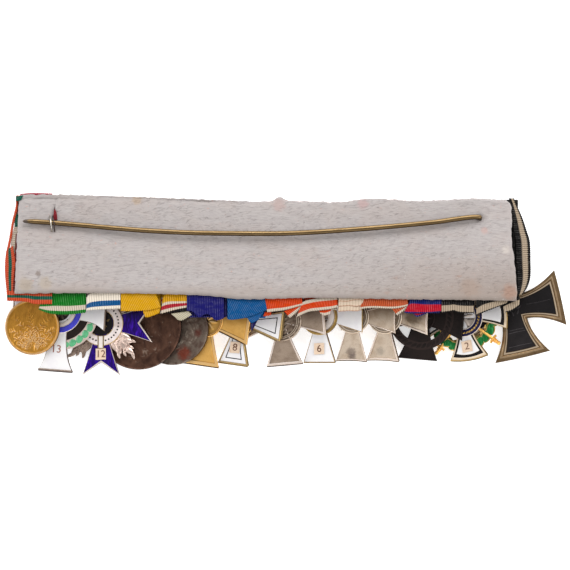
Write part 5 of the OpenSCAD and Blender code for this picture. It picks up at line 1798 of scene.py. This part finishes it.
def make_sworded():
    """The white cross with a black border, bowed ends, a wreath and crossed swords."""
    cross = SHAPES[13]
    enamel_cross(13, "gilt_edge", 0.34, "cream_edge", 0.02)
    part_of(13, "border", inlay(cross, 1.25, 2.45, FIELD, HALF_ARM + 0.08), "black_line")
    part_of(13, "field", pillow(cross, 2.5, FIELD, HALF_ARM + 0.14), "white")
    radius = disk_radius(13)
    disk = coin(Form(), disk_profile(radius, 0.25, rings=(5.55,)), rosette(6, 4.2, 1.6), 0.2, 96, 0.25)
    part_of(13, "disk", disk, "bright_silver")
    part_of(13, "navy_ring", inlay(Disk(radius), 0.28, 3.0, 0.7, HALF_DISK + 0.04), "navy")
    small = leaf(Form(), (-0.8, -0.3), 18, 1.5, 0.75, 0.3, 0.1, HALF_DISK + 0.08)
    ring_of(13, "small_laurel", small, 34, radius - 1.7, 0, "gilt_edge")
    wreath = 13.2
    under = leaf(Form(), (-2.2, -2.1), 40, 5.8, 4.7, 0.9, blunt=0.5)
    over = leaf(Form(), (-2.1, -2.0), 40, 5.5, 4.3, 1.3, blunt=0.5)
    for name, thing, look in (("leaf_edges", under, "gilt_edge"), ("leaves", over, "leaf_green")):
        ring_of(13, name, thing, 22, wreath, 0, look)
    part_of(13, "wreath_hoop", hoop(Form(), (0, 0, 0), wreath - 1.7, 0.55), "gilt_edge")
    swords = Form()
    for side in (-1, 1):
        sword(swords, side)
    part_of(13, "swords", swords, "gilt")


# How far out a sword's guard sits, as a share of a cross's reach, and the length of its grip
GUARD_SHARE = 0.86
GRIP = 2.5


def sword(form, side):
    """A small sword from corner to corner, its hilt below."""
    c, s = heading(45)
    out = np.array([side * s, -c, 0])
    across = np.array([out[1], -out[0], 0])
    shift = np.array([0, 0, 0.12 * side])
    guard = GUARD_SHARE * CROSS_REACH
    blade = [out * -guard * 1.02 + shift, out * -guard * 0.9 + shift, out * guard + shift]
    tube(form, blade, [0.12, 0.6, 0.7], 8)
    bow = [out * guard - across * 2.1 + shift + out * 0.4, out * guard + shift,
           out * guard + across * 2.1 + shift + out * 0.4]
    tube(form, smooth(bow, 5), 0.55, 8)
    grip = np.linspace(0, GRIP, 22)
    swell = 0.72 + 0.12 * np.sin(grip * 9) + 0.3 * np.sin(math.pi * grip / GRIP)
    tube(form, [out * (guard + g) + shift for g in grip], swell, 10)
    knob = np.linspace(-0.85, 0.85, 9)
    rounded = np.sqrt(np.maximum(0.8 - knob ** 2, 0.02))
    tube(form, [out * (guard + 3.2 + k) + shift for k in knob], rounded, 10)


def make_iron():
    """The black iron cross in its silver frame."""
    cross = SHAPES[14]
    # Insets, heights and shades: painted shade on the outer band and in the grooves, painted highlight on the
    # ridges
    steps = [(0, 0.3, -.9), (0.12, 0.42, -.5), (1.2, 0.5, -.45), (1.5, 0.64, .5), (2.0, 0.6, .1),
             (2.15, 0.48, -.8), (2.35, 0.5, -.4), (2.5, HALF_ARM, 1), (2.95, HALF_ARM, 1), (3.1, 0.4, -.7),
             (3.6, 0.36, -.5)]
    part_of(14, "frame", eye(solid(cross, steps), 14), "frame_silver", replaces=True)
    core = pillow(cross, 3.08, 0.3, 0.46)
    for x, y, angle, length, bend in (*spray((0, -3.2), 90, 7.5, 0, 4, 2.6), (0, 3.4, 90, 2.6, 0.0)):
        leaf(core, (x, y), angle, length, 1.1, 0.5, bend, 0.42)
    part_of(14, "core", core, "iron")
    # Lighter iron on the raised lines and leaves of the core: a painted highlight
    worn = Form()
    for half, y in ((5.0, -16.3), (3.6, -10.4), (3.2, -9.3)):
        tube(worn, [(-half, y, 0.42), (0, y + 0.1, 0.46), (half, y, 0.42)], 0.16, 6)
    tube(worn, [(6.5, 0.4, 0.42), (11, 0.1, 0.46), (17, 0.2, 0.42)], 0.16, 6)
    for x, y, angle in ((0.4, -1, 70), (-1.6, -0.4, 130), (2, -0.6, 20), (0, -3.6, 90), (1.5, -3, 50),
                        (-1.6, -3, 130)):
        leaf(worn, (x, y), angle, 2.4, 0.9, 0.5, 0.1, 0.4)
    part_of(14, "worn_relief", Form().both_faces(worn), "worn_iron")


def make_dark():
    """The black-brown cross with a narrow ring of leaves between its arms."""
    metal_cross(12, "brown_black", 0.6, pattern=rosette(8, 4, 1.6))
    form = leaf(Form(), (-1.7, -1.3), 38, 4.3, 2.6, 1.3, blunt=0.6)
    ring_of(12, "leaves", form, 36, 12.45, 0, "brown_black")
    part_of(12, "hoop", annulus(14.2, 10.7, 0.5), "brown_black")


def worn_middle(x, y):
    """Worn leaves in the middle of the silver cross."""
    return 0.8 * leaf_height(x, y, spray((0, -5.5), 90, 10, 0, 6, 4.2), 1.4) + 0.2 * wobble(x, y, 1.6, 77)


# The side walls in sight, as rods of painted shade: the medal, the look, the rod's radius and the parts of the
# outline
SHADED_SIDE_WALLS = [(2, "grey_edge", 0.6, LOW_END), (2, "grey_edge", 0.22, LOW_RIGHT),
              (6, "shadow_edge", 0.58, LOW_END), (6, "shadow_edge", 0.66, RIGHT_LOW),
              (7, "brown_edge", 0.55, LOW_END, LOW_RIGHT),
              (7, "brown_edge", 0.75, RIGHT_LOW, RIGHT_END_LINE), (8, "grey_edge", 0.5, LOW_END),
              (9, "grey_edge", 0.36, LOW_END, LOW_RIGHT), (10, "shadow_edge", 0.42, LOW_END),
              (11, "shadow_edge", 0.42, LOW_END, LOW_RIGHT), (13, "brown_edge", 0.4, LOW_END, LOW_RIGHT)]


def make_medals():
    """All fourteen medals, then painted highlights on the crosses' rims and painted shade on their side walls.
    """
    make_rounds()
    make_blue_ringed()
    make_belted()
    metal_cross(6, "gilt", 1.45, rings=(6.15,), disk_rim=0.35, pattern=rosette(8, 4.4, 1.8))
    make_lined()
    metal_cross(8, "silver", 1.0, rings=(7.6, 6.9), disk_rim=0.6, pattern=worn_middle)
    make_white()
    metal_cross(10, "pale_silver", 0.45, rings=(6.1,), pattern=rosette(8, 4.4, 1.8))
    metal_cross(11, "pale_silver", 0.95, rings=(6.3,), pattern=rosette(8, 4.4, 1.8))
    make_dark()
    make_sworded()
    make_iron()
    # Lighter silver on these raised rims is a painted highlight
    for number, outer, inner in ((8, 0.2, 1.05), (11, 0.2, 0.85), (10, 0.15, 0.5)):
        form = inlay(SHAPES[number], outer, inner, FIELD, HALF_ARM + 0.08)
        part_of(number, "bright_rim", form, "bright_silver")
    for number, look, radius, *runs in SHADED_SIDE_WALLS:
        shaded_side_wall(number, look, radius, *runs)


# Labels and numerals

# A label's width and height, the paper's thickness and its lift over a cross, and the numerals' thickness
LABEL_W = 4.4
LABEL_H = 4.8
PAPER_T = 0.12
PAPER_LIFT = 0.32
INK_T = 0.015
# The height of a digit as a share of the font's size
DIGIT_SHARE = 0.73
# Each label: its node, its medal, its place down the lower arm as a share of the usual reach, and its number
LABELS = [("number_label_1", 3, .71, "12"), ("number_label_2", 7, .63, "8"), ("number_label_3", 9, .74, "6"),
          ("number_label_4", 13, .69, "2")]


def numeral(name, text, height, middle, number, look):
    """A plain number in ink on a medal or its label, a hair thick."""
    data = bpy.data.curves.new(name, "FONT")
    data.body, data.size, data.extrude = text, height / DIGIT_SHARE, INK_T
    data.align_x, data.align_y, data.resolution_u = "CENTER", "CENTER", 4
    carrier = linked(name, data)
    mesh = bpy.data.meshes.new_from_object(carrier.evaluated_get(bpy.context.evaluated_depsgraph_get()))
    bpy.data.objects.remove(carrier)
    bpy.data.curves.remove(data)
    work = bmesh.new()
    work.from_mesh(mesh)
    bmesh.ops.remove_doubles(work, verts=work.verts, dist=0.001)
    points = np.array([v.co for v in work.verts])
    placed = FRAMES[number].place(points + middle) * MM
    for vertex, point in zip(work.verts, placed):
        vertex.co = point
    work.to_mesh(mesh)
    work.free()
    mesh.materials.clear()
    mesh.materials.append(LOOKS[look])
    settle(name, mesh)


def make_labels():
    """The paper labels with their numbers, and the number that sits straight on enamel."""
    for node, number, share, text in LABELS:
        y = -share * CROSS_REACH
        s, t = np.meshgrid(np.linspace(-0.5, 0.5, 13), np.linspace(-0.5, 0.5, 13))
        curl = 0.16 * (2 * s) ** 4 + 0.1 * (2 * t) ** 4 + 0.05 * wobble(s * 4, t * 4, 2, number)
        plan = np.stack([s * LABEL_W * (1 - 0.03 * t), t * LABEL_H + y + 0.1 * np.sin(s * 5)], axis=-1)
        top = np.concatenate([plan, (HALF_ARM + PAPER_LIFT + curl)[..., None]], axis=-1)
        form = slab(Form(), top, top - (0, 0, PAPER_T), plan)
        make(f"{node}_paper", form, FRAMES[number].place, LOOKS["paper"], [node], 60)
        middle = (0, y - 0.05, HALF_ARM + PAPER_LIFT + 0.05)
        numeral(f"{node}_number", text, 3.2, middle, number, "ink")
    numeral("enamel_number", "13", 3.4, (-0.15, -16.85, HALF_ARM + 0.08), 2, "red_ink")


for number in range(1, 15):
    make_ribbon(number, FRAMES[number].hang)
    dress(f"ring_{number:02d}", "gilt" if number in (1, 6) else "silver")
make_medals()
make_labels()
bpy.context.view_layer.update()
